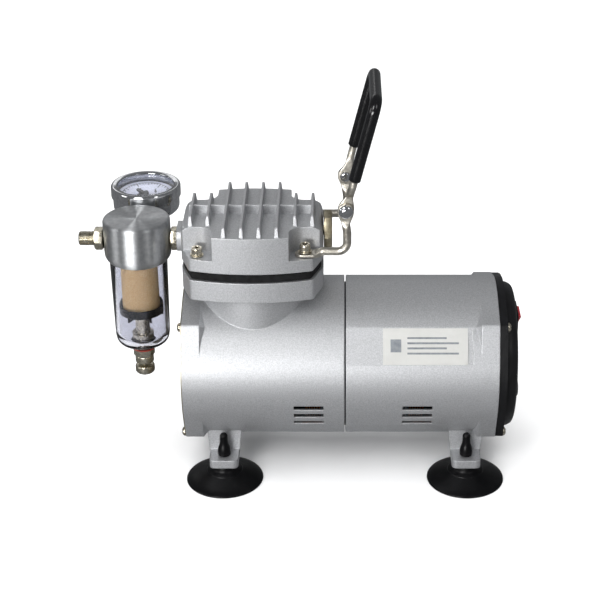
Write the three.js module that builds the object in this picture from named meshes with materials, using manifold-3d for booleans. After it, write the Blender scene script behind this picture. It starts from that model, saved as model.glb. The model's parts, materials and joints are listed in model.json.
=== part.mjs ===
// A small single-cylinder, oil-less airbrush compressor: two die-cast casings bolted round an induction
// motor, an upright pump cylinder with a finned head, a filter with a clear bowl and a gauge on its intake,
// a folding carrying handle and four suction feet.
// Millimetres, +Z up, +X along the motor shaft towards the switch, -Y towards the user.
import * as THREE from "three";
import { mergeVertices } from "three/addons/utils/BufferGeometryUtils.js";
import Module from "manifold-3d";

const wasm = await Module();
wasm.setup();

// ---- Driving dimensions ----
const CLEARANCE = 0.3; // left between pieces that touch
const SHAFT_HEIGHT = 73; // motor axis above the table
const CASING_RADIUS = 54;
const CASING_BORE = 50;
const SPLIT_GAP = 0.8; // dark joint line between the castings, at x = 0
const FRONT_END = -105; // end faces of the castings
const REAR_END = 101.5;

const CORNER_ANGLE = THREE.MathUtils.degToRad(43.3); // screw corners of the end flanges, from vertical
const CORNER_REACH = 58.4;
const CORNER_ROUND = 3;
const SCREW_CIRCLE = 54.6;
const FLANGE_LENGTH = 13;

const CYLINDER_X = -61; // pump cylinder axis
const BARREL_RADIUS = 38;
const BORE_RADIUS = 24;
const LINER_RADIUS = 26.5;
const LOWER_FLANGE = [132.6, 146.6]; // heights of the stack under the head
const VALVE_PLATE = [146.9, 152.8];
const HEAD_BASE = 153.1;
const HEAD_LEDGE = 161.6; // recessed ledge the head bolts stand on
const HEAD_FLOOR = 178.2; // floor between the fins
const FIN_TOP = 185;
const FIN_PITCH = 11.3;
const HEAD_WIDTH = 93;
const HEAD_DEPTH = 83.2;
const BOSS_REACH = 50; // intake boss of the head, from the cylinder axis
const BOLT_X = 35;
const BOLT_Y = 30.2;

const BOLT_REACH = 27; // of the head bolts, below their washers
const LONG_FIN = 40; // half lengths of the head's fins
const SHORT_FIN = 21.2;
const FIN_FOOT = 1.35; // half thickness of a fin at its root
const FIN_TAPER = 0.56;
const FIN_SLOPE = 2.2; // each fin's end leans in by this much

const STROKE = 12;
const PISTON_TOP = 145.6; // at top dead centre, which is the rest pose

const STATOR = [-16, 42];
const STATOR_SLOTS = 8;
const FRONT_BEARING_X = -39;
const REAR_BEARING_X = 68;
const BEARING_RADIUS = 11;
const BEARING_WIDTH = 7;
const SHAFT_RADIUS = 5;
const SHAFT_END_RADIUS = 3.9; // turned down where the bearings, crank and fan sit
const CRANK_X = [-54.4, -48.4];
const FAN_X = 83;
const FAN_BLADES = 7;

const PORT_HEIGHT = 160; // intake port, filter fittings
const OUTLET_HEIGHT = 166;
const FILTER_X = -138;
const FILTER_RADIUS = 22.3;
const GAUGE_X = 1.6; // the gauge hangs a little off the filter axis
const GAUGE_Y = 46.3;
const GAUGE_PORT = 154.6;
const GAUGE_BOTTOM = 160.4;
const GAUGE_TOP = 180;
const GAUGE_RADIUS = 23.8;
const NEEDLE_TURN = THREE.MathUtils.degToRad(-38);

const FOOT_X = 82;
const FOOT_Y = 43.9;
const FOOT_RADIUS = 26.2;
const TAB = { bottom: 12.6, top: 18.6, width: 19.5, front: 8.4, back: 6.8 };

const PIVOT = { x: 0.3, z: 193 };
const ROD_RADIUS = 2.7;
const BAIL_LEAN = THREE.MathUtils.degToRad(14.4); // the handle stands leaning back a little
const BAIL_HEIGHT = 75; // pivot to the centre of the crossbar
const BAIL_START = 12; // where its round rod begins, above the pivot
const BAIL_Y = 30.5;
const BRACKET_EYE = [29.2, 31.6]; // the flattened ends, from inner to outer face
const BAIL_EYE = [26.3, 28.9];
const EYE_RADIUS = 5.2;
const EYE_HOLE = 2.6;
const RIVET_RADIUS = 2.3;
const BAIL_RADIUS = 2.5;
const ROD_BEND = 7;
const GRIP_RADIUS = 3.9;
const GRIP_START = 21.2; // above the pivot, along the bail
const ROD_SIDES = 8;
const FLATNESS = 0.05; // points closer than this to a flat face or straight edge are merged into it

const CAP_FLANGE = 5;
const CAP_RADIUS = 47;
const CAP_END = 115;
const CAP_WALL = 2.6;
const COVER_THICKNESS = 3;
const SCREW_LENGTH = 9;
const SWITCH_HEIGHT = 28; // above the motor axis
const GLAND_DROP = 27; // below the motor axis

const NIPPLE_END = -176.6;
const GLAND_END = 120;
const CENTRE_X = (NIPPLE_END + GLAND_END) / 2; // the part's origin is under the middle of its length

// ---- Materials ----
const paint = new THREE.MeshStandardMaterial({ color: 0xb4b6b8, roughness: 0.45, metalness: 0.6 });
const steel = new THREE.MeshStandardMaterial({ color: 0xc9c6bd, roughness: 0.25, metalness: 1 });
const nickel = new THREE.MeshStandardMaterial({ color: 0xb8ac8c, roughness: 0.25, metalness: 1 });
const aluminium = new THREE.MeshStandardMaterial({ color: 0xc8c9c9, roughness: 0.3, metalness: 1 });
const chrome = new THREE.MeshStandardMaterial({ color: 0xd8d8d8, roughness: 0.08, metalness: 1 });
const blackPlastic = new THREE.MeshStandardMaterial({ color: 0x1b1b1c, roughness: 0.5, metalness: 0 });
const blackRubber = new THREE.MeshStandardMaterial({ color: 0x101010, roughness: 0.6, metalness: 0 });
const redPlastic = new THREE.MeshStandardMaterial({ color: 0x8e1420, roughness: 0.3, metalness: 0 });
const clear = new THREE.MeshStandardMaterial({ color: 0xe8eef2, roughness: 0.05, opacity: 0.3 });
clear.transparent = true;
const sintered = new THREE.MeshStandardMaterial({ color: 0xc89c68, roughness: 0.95, metalness: 0 });
const dialWhite = new THREE.MeshStandardMaterial({ color: 0xeeeef0, roughness: 0.6, metalness: 0 });
const copper = new THREE.MeshStandardMaterial({ color: 0xb8683a, roughness: 0.4, metalness: 1 });
const castIron = new THREE.MeshStandardMaterial({ color: 0x5c5c5e, roughness: 0.6, metalness: 0.8 });

// ---- Helpers ----
function mesh(geometry, name, material) {
  const made = new THREE.Mesh(geometry, material);
  made.name = name;
  return made;
}

function at(object, x, y, z) {
  object.position.set(x, y, z);
  return object;
}

// A closed geometry as a manifold-3d solid, faces outwards, so that it can be cut and joined.
function solid(geometry) {
  const loose = geometry.index ? geometry.toNonIndexed() : geometry;
  const bare = new THREE.BufferGeometry().setAttribute("position", loose.getAttribute("position"));
  const merged = mergeVertices(bare, 1e-4);
  const vertProperties = merged.attributes.position.array;
  const triVerts = new Uint32Array(merged.index.array);
  const made = new wasm.Manifold(new wasm.Mesh({ numProp: 3, vertProperties, triVerts }));
  if (made.volume() > 0) return made;
  triVerts.reverse();
  return new wasm.Manifold(new wasm.Mesh({ numProp: 3, vertProperties, triVerts }));
}

function geometryOf(made) {
  const { vertProperties, triVerts } = made.simplify(FLATNESS).getMesh();
  return new THREE.BufferGeometry()
    .setAttribute("position", new THREE.BufferAttribute(vertProperties, 3))
    .setIndex(new THREE.BufferAttribute(triVerts, 1));
}

const join = (first, ...rest) => rest.reduce((sum, next) => sum.add(next), first);
const cut = (first, ...rest) => rest.reduce((sum, next) => sum.subtract(next), first);

// A body turned about an axis. Its outline is [radius, distance along the axis] points.
function turned(outline, segments, axis = "z") {
  const points = outline.map(([radius, along]) => new THREE.Vector2(radius, along));
  const geometry = new THREE.LatheGeometry(points, segments);
  if (axis === "z") geometry.rotateX(Math.PI / 2);
  if (axis === "x") geometry.rotateZ(-Math.PI / 2);
  return solid(geometry);
}

function drum(radius, from, to, segments = 24, axis = "z") {
  return turned([[0, from], [radius, from], [radius, to], [0, to]], segments, axis);
}

function tube(outer, inner, from, to, segments = 24, axis = "z") {
  return turned([[inner, from], [outer, from], [outer, to], [inner, to], [inner, from]], segments, axis);
}

function block(x, y, z) {
  const geometry = new THREE.BoxGeometry(x[1] - x[0], y[1] - y[0], z[1] - z[0]);
  geometry.translate((x[0] + x[1]) / 2, (y[0] + y[1]) / 2, (z[0] + z[1]) / 2);
  return solid(geometry);
}

// Where an outline's two directions and its depth point when it is extruded along another axis.
const LAID_ALONG = {
  x: [new THREE.Vector3(0, 1, 0), new THREE.Vector3(0, 0, 1), new THREE.Vector3(1, 0, 0)],
  y: [new THREE.Vector3(1, 0, 0), new THREE.Vector3(0, 0, 1), new THREE.Vector3(0, -1, 0)],
};

// An outline extruded along an axis. Outlines for "z" are (x, y), for "x" (y, z), and for "y" (x, z).
function extruded(shape, from, to, axis = "z", curveSegments = 8) {
  const options = { depth: to - from, bevelEnabled: false, curveSegments };
  const geometry = new THREE.ExtrudeGeometry(shape, options);
  geometry.translate(0, 0, axis === "y" ? -to : from);
  if (axis !== "z") geometry.applyMatrix4(new THREE.Matrix4().makeBasis(...LAID_ALONG[axis]));
  return solid(geometry);
}

const polygon = (points) => new THREE.Shape(points.map(([x, y]) => new THREE.Vector2(x, y)));

// A round rod along a path of straight runs with rounded bends.
function rodPath(points, bend) {
  const path = new THREE.CurvePath();
  let start = points[0];
  for (let i = 1; i < points.length - 1; i++) {
    const corner = points[i];
    const before = corner.clone().add(start.clone().sub(corner).setLength(bend));
    const after = corner.clone().add(points[i + 1].clone().sub(corner).setLength(bend));
    path.add(new THREE.LineCurve3(start, before));
    path.add(new THREE.QuadraticBezierCurve3(before, corner, after));
    start = after;
  }
  path.add(new THREE.LineCurve3(start, points[points.length - 1]));
  return path;
}

function rod(path, radius, steps) {
  const section = new THREE.Shape().absarc(0, 0, radius, 0, 2 * Math.PI);
  const options = { steps, extrudePath: path, curveSegments: ROD_SIDES / 2 };
  return solid(new THREE.ExtrudeGeometry(section, options)).simplify(FLATNESS);
}

function hexagon(acrossFlats, turn = 0) {
  const reach = acrossFlats / Math.sqrt(3);
  const corners = [0, 1, 2, 3, 4, 5].map((i) => turn + (i * Math.PI) / 3);
  return polygon(corners.map((a) => [reach * Math.cos(a), reach * Math.sin(a)]));
}

// ---- Outlines ----
// The end flange in (y, z) about the motor axis: the casing's circle with four tangent screw corners.
function flangeOutline(inset = 0) {
  const radius = CASING_RADIUS - inset;
  const reach = CORNER_REACH - inset - CORNER_ROUND;
  const spread = Math.acos((radius - CORNER_ROUND) / reach);
  const shape = new THREE.Shape();
  const corners = [CORNER_ANGLE, Math.PI - CORNER_ANGLE, Math.PI + CORNER_ANGLE, -CORNER_ANGLE];
  // Angles run from +z towards +y, so each one is turned into the outline's own angle.
  const own = corners.map((a) => Math.PI / 2 - a).sort((a, b) => a - b);
  own.forEach((angle, i) => {
    const [y, z] = [reach * Math.cos(angle), reach * Math.sin(angle)];
    shape.absarc(y, z, CORNER_ROUND, angle - spread, angle + spread, false);
    const next = i < 3 ? own[i + 1] : own[0] + 2 * Math.PI;
    shape.absarc(0, 0, radius, angle + spread, next - spread, false);
  });
  shape.closePath();
  return shape;
}

const SCREW_Y = SCREW_CIRCLE * Math.sin(CORNER_ANGLE);
const SCREW_Z = SCREW_CIRCLE * Math.cos(CORNER_ANGLE);
const screwPlaces = [
  [-SCREW_Y, SCREW_Z],
  [SCREW_Y, SCREW_Z],
  [-SCREW_Y, -SCREW_Z],
  [SCREW_Y, -SCREW_Z],
];

// The pump flange in (x, y) about the cylinder axis: bowed front and back, long bevelled corners.
function pumpOutline(inset = 0) {
  const side = HEAD_WIDTH / 2 - inset;
  const sideEnd = 16.5;
  const corner = [40 - inset, 35.6 - inset];
  const bow = HEAD_DEPTH / 2 - inset - corner[1];
  const bowRadius = (corner[0] ** 2 + bow ** 2) / (2 * bow);
  const bowHalf = Math.asin(corner[0] / bowRadius);
  const centre = HEAD_DEPTH / 2 - inset - bowRadius;
  const shape = new THREE.Shape();
  shape.moveTo(side, -sideEnd);
  shape.lineTo(side, sideEnd);
  shape.lineTo(...corner);
  shape.absarc(0, centre, bowRadius, Math.PI / 2 - bowHalf, Math.PI / 2 + bowHalf, false);
  shape.lineTo(-side, sideEnd);
  shape.lineTo(-side, -sideEnd);
  shape.lineTo(-corner[0], -corner[1]);
  shape.absarc(0, -centre, bowRadius, -Math.PI / 2 - bowHalf, -Math.PI / 2 + bowHalf, false);
  shape.closePath();
  return shape;
}

// ---- Casings ----
// One cooling slot through the wall on both sides, at an angle from the top of the casing.
function slot(fromAngle, toAngle, fromX, toX) {
  const [a, b] = [fromAngle, toAngle].map(THREE.MathUtils.degToRad);
  const middle = (a + b) / 2;
  const half = (CASING_RADIUS * (b - a)) / 2;
  const cutter = block([fromX, toX], [-half, half], [CASING_BORE - 6, CASING_RADIUS + 4]);
  return [middle, -middle].map((angle) => cutter.rotate([THREE.MathUtils.radToDeg(angle), 0, 0]));
}

const FRONT_SLOTS = [-34.2, -14.4];
const REAR_SLOTS = [38.1, 57.9];
const SLOT_ROWS = [
  [102.2, 106],
  [110, 114],
  [118.6, 122.6],
];

function leg() {
  const { bottom, top, width, front, back } = TAB;
  const face = -FOOT_Y + back;
  const side = polygon([
    [face - 1, bottom - SHAFT_HEIGHT],
    [face + 3, bottom - SHAFT_HEIGHT],
    [-8, -CASING_RADIUS + 0.2],
    [-8, -45],
    [face, -36],
    [face, top - SHAFT_HEIGHT],
    [face - 1, top - SHAFT_HEIGHT],
  ]);
  const half = width / 2;
  const round = 3.5;
  const tabShape = polygon([
    [-half, back],
    [-half, -front + round],
    [-half + round, -front],
    [half - round, -front],
    [half, -front + round],
    [half, back],
  ]);
  const tab = extruded(tabShape, bottom - SHAFT_HEIGHT, top - SHAFT_HEIGHT).translate([0, -FOOT_Y, 0]);
  const hole = drum(3.5, bottom - SHAFT_HEIGHT - 1, top - SHAFT_HEIGHT + 1, 16).translate([0, -FOOT_Y, 0]);
  return cut(join(extruded(side, -half, half, "x"), tab), hole);
}

// The wall that carries a shaft bearing, with air windows through it.
function bulkhead(middle) {
  const [from, to] = [middle - 2, middle + 2];
  const web = drum(CASING_BORE + 1, from, to, 32, "x");
  const hub = drum(16, from - 3, to + 3, 16, "x");
  const bore = drum(BEARING_RADIUS + CLEARANCE, from - 4, to + 4, 24, "x");
  const windows = [0, 1, 2, 3].map((i) => {
    const angle = ((i + 0.5) * Math.PI) / 2;
    return drum(10, from - 4, to + 4, 8, "x").translate([0, 32 * Math.cos(angle), 32 * Math.sin(angle)]);
  });
  return cut(join(web, hub), bore, ...windows);
}

function casing(from, to, flangeFrom, flangeTo, footX) {
  const shell = drum(CASING_RADIUS, from, to, 40, "x");
  const flange = extruded(flangeOutline(), flangeFrom, flangeTo, "x", 4);
  const legs = leg().translate([footX, 0, 0]);
  return join(shell, flange, legs, legs.mirror([0, 1, 0]));
}

function casingHollow(from, to) {
  return drum(CASING_BORE, from, to, 32, "x");
}

function screwHoles(from, to) {
  return screwPlaces.map(([y, z]) => drum(1.9, from, to, 8, "x").translate([0, y, z]));
}

function crankcaseHousing() {
  const flangeEnd = FRONT_END + FLANGE_LENGTH;
  const body = casing(FRONT_END, -SPLIT_GAP / 2, FRONT_END, flangeEnd, -FOOT_X);
  const [low, high] = LOWER_FLANGE.map((z) => z - SHAFT_HEIGHT);
  const barrel = drum(BARREL_RADIUS, 20, low + 1, 36).translate([CYLINDER_X, 0, 0]);
  const flange = extruded(pumpOutline(), low, high, "z", 3).translate([CYLINDER_X, 0, 0]);
  const bore = drum(LINER_RADIUS + CLEARANCE, 20, high + 1, 32).translate([CYLINDER_X, 0, 0]);
  const boltHoles = boltHolesThrough(low - 1, high + 1).map((hole) => hole.translate([CYLINDER_X, 0, 0]));
  const slots = SLOT_ROWS.flatMap(([a, b]) => slot(a, b, ...FRONT_SLOTS));
  const made = cut(
    join(body, barrel, flange),
    casingHollow(FRONT_END - 1, 1),
    bore,
    ...boltHoles,
    ...slots,
    ...screwHoles(FRONT_END - 1, FRONT_END + 9),
  );
  return join(made, bulkhead(FRONT_BEARING_X));
}

function motorHousing() {
  const flangeStart = REAR_END - FLANGE_LENGTH;
  const body = casing(SPLIT_GAP / 2, REAR_END, flangeStart, REAR_END, FOOT_X);
  const slots = SLOT_ROWS.flatMap(([a, b]) => slot(a, b, ...REAR_SLOTS));
  // Flat pad for the rating label.
  const pad = block([0, 85], [-20, 20], [52.7, 60]).rotate([57, 0, 0]);
  const made = cut(
    body,
    casingHollow(-1, REAR_END + 1),
    pad,
    ...slots,
    ...screwHoles(REAR_END - 9, REAR_END + 1),
  );
  return join(made, bulkhead(REAR_BEARING_X));
}

function coverPlate() {
  const outer = FRONT_END - CLEARANCE - COVER_THICKNESS;
  const plate = extruded(flangeOutline(0.4), outer, FRONT_END - CLEARANCE, "x", 4);
  const holes = screwHoles(outer - 1, FRONT_END);
  // Air slots fan out round the middle.
  const slots = Array.from({ length: 8 }, (_, i) =>
    block([outer - 1, FRONT_END], [-1.7, 1.7], [18, 40]).rotate([i * 45, 0, 0]),
  );
  return cut(plate, ...holes, ...slots);
}

function rearCap() {
  const start = REAR_END + CLEARANCE;
  const flange = extruded(flangeOutline(0.4), start, start + CAP_FLANGE, "x", 4);
  const outline = [
    [0, start],
    [CAP_RADIUS, start],
    [CAP_RADIUS, CAP_END - 6],
    [CAP_RADIUS - 1.8, CAP_END - 1.8],
    [CAP_RADIUS - 6, CAP_END],
    [0, CAP_END],
  ];
  const dome = turned(outline, 36, "x");
  const hollow = drum(CAP_RADIUS - CAP_WALL, start - 1, CAP_END - CAP_WALL, 28, "x");
  const through = [CAP_END - 4, CAP_END + 1];
  const switchHole = block(through, [-9.8, 9.8], [SWITCH_HEIGHT - 6.9, SWITCH_HEIGHT + 6.9]);
  const glandHole = drum(6.3, ...through, 16, "x").translate([0, 0, -GLAND_DROP]);
  const airSlot = block(through, [-9, 9], [-1.75, 1.75]);
  const slots = [-7, 0, 7].flatMap((z) => [-14, 14].map((y) => airSlot.translate([0, y, z])));
  const holes = screwHoles(start - 1, start + CAP_FLANGE + 1);
  return cut(join(flange, dome), hollow, switchHole, glandHole, ...slots, ...holes);
}

// A pan-head screw pointing along +x, its head's underside at x = 0.
function panScrew() {
  const outline = [
    [0, -2.2],
    [1.6, -2.2],
    [3.1, -1.1],
    [3.1, 0],
    [1.55, 0],
    [1.55, SCREW_LENGTH],
    [0, SCREW_LENGTH],
  ];
  return turned(outline, 10, "x");
}

// ---- Pump ----
const headBoltPlaces = [
  [-BOLT_X, -BOLT_Y],
  [BOLT_X, -BOLT_Y],
  [-BOLT_X, BOLT_Y],
  [BOLT_X, BOLT_Y],
];

function boltHolesThrough(from, to) {
  return headBoltPlaces.map(([x, y]) => drum(2.3, from, to, 8).translate([x, y, 0]));
}

function cylinderLiner() {
  const skirt = 125;
  return tube(LINER_RADIUS, BORE_RADIUS, skirt, LOWER_FLANGE[1], 28);
}

function valvePlate() {
  const [low, high] = VALVE_PLATE;
  const port = drum(1.8, low - 1, high + 1, 6);
  const ports = [-10, 10].flatMap((x) => [-5, 0, 5].map((y) => port.translate([x, y, 0])));
  const plate = extruded(pumpOutline(1.3), low, high, "z", 3);
  return cut(plate, ...boltHolesThrough(low - 1, high + 1), ...ports);
}

// A bolt pocket in one corner of the head, with a rounded inner corner.
function headPocket(signX, signY) {
  const [x, y] = [24.7, 22.2];
  const round = 9;
  const shape = new THREE.Shape();
  shape.moveTo(x + round, y);
  shape.lineTo(60, y);
  shape.lineTo(60, 60);
  shape.lineTo(x, 60);
  shape.lineTo(x, y + round);
  shape.absarc(x + round, y + round, round, Math.PI, 1.5 * Math.PI, false);
  const pocket = extruded(shape, HEAD_LEDGE, FIN_TOP + 5, "z", 4);
  const acrossX = signX < 0 ? pocket.mirror([1, 0, 0]) : pocket;
  return signY < 0 ? acrossX.mirror([0, 1, 0]) : acrossX;
}

// Head fins run front to back, the middle four longer, and narrow towards their tips.
function headFin(index) {
  const half = Math.abs(index - 3.5) < 2 ? LONG_FIN : SHORT_FIN;
  const root = HEAD_FLOOR - 1;
  const blade = new THREE.BoxGeometry(2 * FIN_FOOT, 2 * half, FIN_TOP - root);
  blade.translate(0, 0, (FIN_TOP + root) / 2);
  const points = blade.getAttribute("position");
  for (let i = 0; i < points.count; i++) {
    if (points.getZ(i) < HEAD_FLOOR) continue;
    points.setX(i, points.getX(i) * FIN_TAPER);
    points.setY(i, points.getY(i) * (1 - FIN_SLOPE / half));
  }
  return solid(blade).translate([(index - 3.5) * FIN_PITCH, 0, 0]);
}

function cylinderHead() {
  const blank = extruded(pumpOutline(), HEAD_BASE, HEAD_FLOOR, "z", 3);
  const pockets = [-1, 1].flatMap((x) => [-1, 1].map((y) => headPocket(x, y)));
  const fins = [0, 1, 2, 3, 4, 5, 6, 7].map(headFin);
  const crossFin = block([-41.5, 41.5], [-0.8, 0.8], [HEAD_FLOOR - 1, FIN_TOP - 0.6]);
  const intakeBoss = drum(12, -BOSS_REACH, -20, 20, "x").translate([0, 0, PORT_HEIGHT - 1.5]);
  const intakeBore = drum(3.6, -52, -30, 12, "x").translate([0, 0, PORT_HEIGHT]);
  const outletBore = drum(3.6, 30, 60, 12, "x").translate([0, 0, OUTLET_HEIGHT]);
  // The boss hangs beside the valve plate, so what is under the head is trimmed off inside the outline.
  const under = extruded(pumpOutline(-0.8), 120, HEAD_BASE, "z", 3);
  const chamber = block([-20, -3], [-16, 16], [HEAD_BASE - 1, 168]);
  const outletChamber = block([3, 20], [-16, 16], [HEAD_BASE - 1, 170]);
  return cut(
    join(cut(blank, ...pockets), ...fins, crossFin, intakeBoss),
    under,
    chamber,
    outletChamber,
    intakeBore,
    outletBore,
    drum(3.6, -33, -15, 12, "x").translate([0, 0, PORT_HEIGHT]),
    drum(3.6, 15, 33, 12, "x").translate([0, 0, OUTLET_HEIGHT]),
    ...boltHolesThrough(HEAD_BASE - 1, HEAD_LEDGE + 1),
  );
}

// A socket cap bolt with its washer, standing on a ledge at z = 0.
function capBolt() {
  const outline = [
    [0, -BOLT_REACH],
    [1.95, -BOLT_REACH],
    [1.95, 0.1],
    [4.4, 0.1],
    [4.4, 1.1],
    [3.5, 1.3],
    [3.5, 5.4],
    [3.2, 5.8],
    [0, 5.8],
  ];
  return cut(turned(outline, 12), extruded(hexagon(3), 3.2, 7));
}

// The intake side: hex nipple between head and filter, its hexagon in the open gap.
function joiningNipple(from, to) {
  const hex = extruded(hexagon(14, Math.PI / 6), from, to, "x");
  const stub = drum(3.2, from - 5, to + 9, 12, "x");
  return join(hex, stub);
}

function hoseNipple() {
  const face = -FILTER_RADIUS - 0.9;
  const hexEnd = face - 5.7;
  const hex = extruded(hexagon(13.5, Math.PI / 6), hexEnd, face, "x");
  const end = NIPPLE_END - FILTER_X;
  const outline = [
    [0, end],
    [3.9, end],
    [4.85, end + 1],
    [4.85, hexEnd + 0.5],
    [0, hexEnd + 0.5],
  ];
  const spigot = turned(outline, 20, "x");
  const tail = drum(3.2, face - 1, face + 6, 12, "x");
  const bore = drum(1.8, end - 1, face + 8, 10, "x");
  return cut(join(hex, spigot, tail), bore);
}

function exhaustMuffler() {
  const face = HEAD_WIDTH / 2 + CLEARANCE;
  const hex = extruded(hexagon(23, Math.PI / 6), face, face + 5.6, "x");
  const stub = drum(3.2, face - 8, face + 1, 12, "x");
  const recess = drum(8.6, face + 3.8, face + 7, 20, "x");
  return cut(join(hex, stub), recess, drum(1.8, face - 9, face + 7, 10, "x"));
}

// ---- Filter, in heights above the table, about its own axis ----
const BOWL_FLOOR = 84;
const BOWL_TOP = 150.6;
const FILTER_LOW = 145.8;
const FILTER_HIGH = 175;
const ELEMENT = { bottom: 109.9, top: 150, radius: 12.6, bore: 7.5 };
const BAFFLE = { bottom: 106.4, floor: 109.6, top: 112.4, radius: 15.3 };
const STEM_RADIUS = 2;
const STEM_TOP = 168;
const DRAIN = { bottom: 67.4, neck: 78.6, nut: 87, top: 101.5 };

function filterHead() {
  const outline = [
    [0, FILTER_LOW],
    [FILTER_RADIUS - 1.2, FILTER_LOW],
    [FILTER_RADIUS, FILTER_LOW + 1.2],
    [FILTER_RADIUS, FILTER_HIGH - 2.4],
    [FILTER_RADIUS - 0.7, FILTER_HIGH - 0.7],
    [FILTER_RADIUS - 2.4, FILTER_HIGH],
    [0, FILTER_HIGH],
  ];
  const outer = turned(outline, 28);
  const socket = drum(19.6, FILTER_LOW - 1, BOWL_TOP + 0.8, 28);
  const bores = [
    drum(3.5, -30, -14, 12, "x").translate([0, 0, PORT_HEIGHT]),
    drum(2, BOWL_TOP, PORT_HEIGHT, 8).translate([-16, 0, 0]),
    drum(3.5, 3, 30, 12, "x").translate([0, 0, PORT_HEIGHT]),
    drum(3.5, 3, 30, 12, "y").translate([0, 0, GAUGE_PORT]),
    drum(5, BOWL_TOP, PORT_HEIGHT + 3, 12),
    drum(STEM_RADIUS + CLEARANCE, BOWL_TOP, STEM_TOP + 1, 10),
  ];
  // Flats where the fittings seat.
  const flat = drum(8.6, FILTER_RADIUS - 0.6, FILTER_RADIUS + 3, 12, "x").translate([0, 0, PORT_HEIGHT]);
  const gaugeFlat = drum(7, FILTER_RADIUS - 0.6, FILTER_RADIUS + 3, 12, "y").translate([0, 0, GAUGE_PORT]);
  return cut(outer, socket, ...bores, flat, flat.mirror([1, 0, 0]), gaugeFlat);
}

function filterBowl() {
  const base = BOWL_FLOOR - 1.6;
  const outline = [
    [6.2, base],
    [13.2, base],
    [16.6, BOWL_FLOOR + 0.6],
    [18.2, BOWL_FLOOR + 4.6],
    [19.3, BOWL_TOP],
    [17.2, BOWL_TOP],
    [16.2, BOWL_FLOOR + 5.4],
    [12.6, BOWL_FLOOR + 1.6],
    [6.2, BOWL_FLOOR + 1.6],
    [6.2, base],
  ];
  return turned(outline, 24);
}

function filterElement() {
  return tube(ELEMENT.radius, ELEMENT.bore, ELEMENT.bottom, ELEMENT.top, 24);
}

function filterBaffle() {
  const bore = STEM_RADIUS + CLEARANCE;
  const outline = [
    [bore, BAFFLE.bottom],
    [BAFFLE.radius, BAFFLE.bottom],
    [BAFFLE.radius, BAFFLE.top],
    [BAFFLE.radius - 1.1, BAFFLE.top],
    [BAFFLE.radius - 1.1, BAFFLE.floor],
    [bore, BAFFLE.floor],
    [bore, BAFFLE.bottom],
  ];
  return turned(outline, 20);
}

function filterStem() {
  const nut = BAFFLE.bottom - CLEARANCE;
  const outline = [
    [0, nut - 3.1],
    [3.6, nut - 3.1],
    [3.6, nut],
    [STEM_RADIUS, nut],
    [STEM_RADIUS, STEM_TOP],
    [0, STEM_TOP],
  ];
  return turned(outline, 12);
}

function drainBody() {
  const outline = [
    [1.9, DRAIN.bottom],
    [6.3, DRAIN.bottom],
    [6.3, DRAIN.neck],
    [5.7, DRAIN.neck],
    [5.7, DRAIN.nut],
    [7.4, DRAIN.nut],
    [7.4, DRAIN.nut + 3],
    [4.9, DRAIN.nut + 3],
    [4.9, DRAIN.top],
    [1.9, DRAIN.top],
    [1.9, DRAIN.bottom],
  ];
  return turned(outline, 14);
}

function drainSeal() {
  const top = BOWL_FLOOR - 1.6 - CLEARANCE;
  const outline = [
    [6, top - 3.1],
    [7.6, top - 3.1],
    [8.9, top - 1.7],
    [8.9, top],
    [6, top],
    [6, top - 3.1],
  ];
  return turned(outline, 16);
}

function drainKnob() {
  const base = 58.8;
  const outline = [
    [0, base],
    [5.6, base],
    [6.6, base + 1.2],
    [6.6, base + 5.6],
    [5, base + 6],
    [1.5, base + 6],
    [1.5, 96],
    [0, 96],
  ];
  return turned(outline, 14);
}

// ---- Gauge, about its own axis ----
function gaugeElbow() {
  const reach = GAUGE_Y - FILTER_RADIUS - 0.9;
  // Along y from the filter, then up into the gauge.
  const hex = extruded(hexagon(10.2), -reach, -reach + 6, "y");
  const arm = drum(4.4, -reach + 5, 4.4, 16, "y");
  const riser = drum(4.4, -3, GAUGE_BOTTOM - GAUGE_PORT - CLEARANCE, 16).translate([GAUGE_X, 0, 0]);
  const tail = drum(3.1, -reach - 6, -reach + 1, 12, "y");
  return join(hex, arm, riser, tail);
}

function gaugeCase() {
  const base = GAUGE_BOTTOM;
  const rim = GAUGE_TOP - 3.8;
  const outline = [
    [0, base],
    [GAUGE_RADIUS - 3, base],
    [GAUGE_RADIUS - 1.1, base + 2],
    [GAUGE_RADIUS - 1.1, rim],
    [GAUGE_RADIUS - 2, rim],
    [GAUGE_RADIUS - 2, base + 3.2],
    [0, base + 3.2],
  ];
  return turned(outline, 28);
}

function gaugeBezel() {
  const [base, glass] = [GAUGE_TOP - 8.4, GAUGE_TOP - 1.6];
  const outline = [
    [GAUGE_RADIUS - 0.8, base],
    [GAUGE_RADIUS, base],
    [GAUGE_RADIUS, GAUGE_TOP - 1],
    [GAUGE_RADIUS - 1, GAUGE_TOP],
    [19.4, GAUGE_TOP - 0.6],
    [19.4, glass],
    [GAUGE_RADIUS - 0.8, glass],
    [GAUGE_RADIUS - 0.8, base],
  ];
  return turned(outline, 28);
}

function gaugeNeedle() {
  const outline = polygon([
    [-8, -1],
    [15.5, -0.3],
    [15.5, 0.3],
    [-8, 1],
  ]);
  return join(extruded(outline, 173, 173.7), drum(1.8, 172.8, 174.6, 12), drum(0.8, 169.6, 173, 10));
}

// ---- Motor, about the shaft ----
function statorCore() {
  const groove = block([STATOR[0] - 1, STATOR[1] + 1], [-4, 4], [30, 40]);
  const turn = 360 / STATOR_SLOTS;
  const slots = Array.from({ length: STATOR_SLOTS }, (_, i) => groove.rotate([i * turn, 0, 0]));
  return cut(tube(49.4, 28.2, ...STATOR, 32, "x"), ...slots);
}

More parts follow.
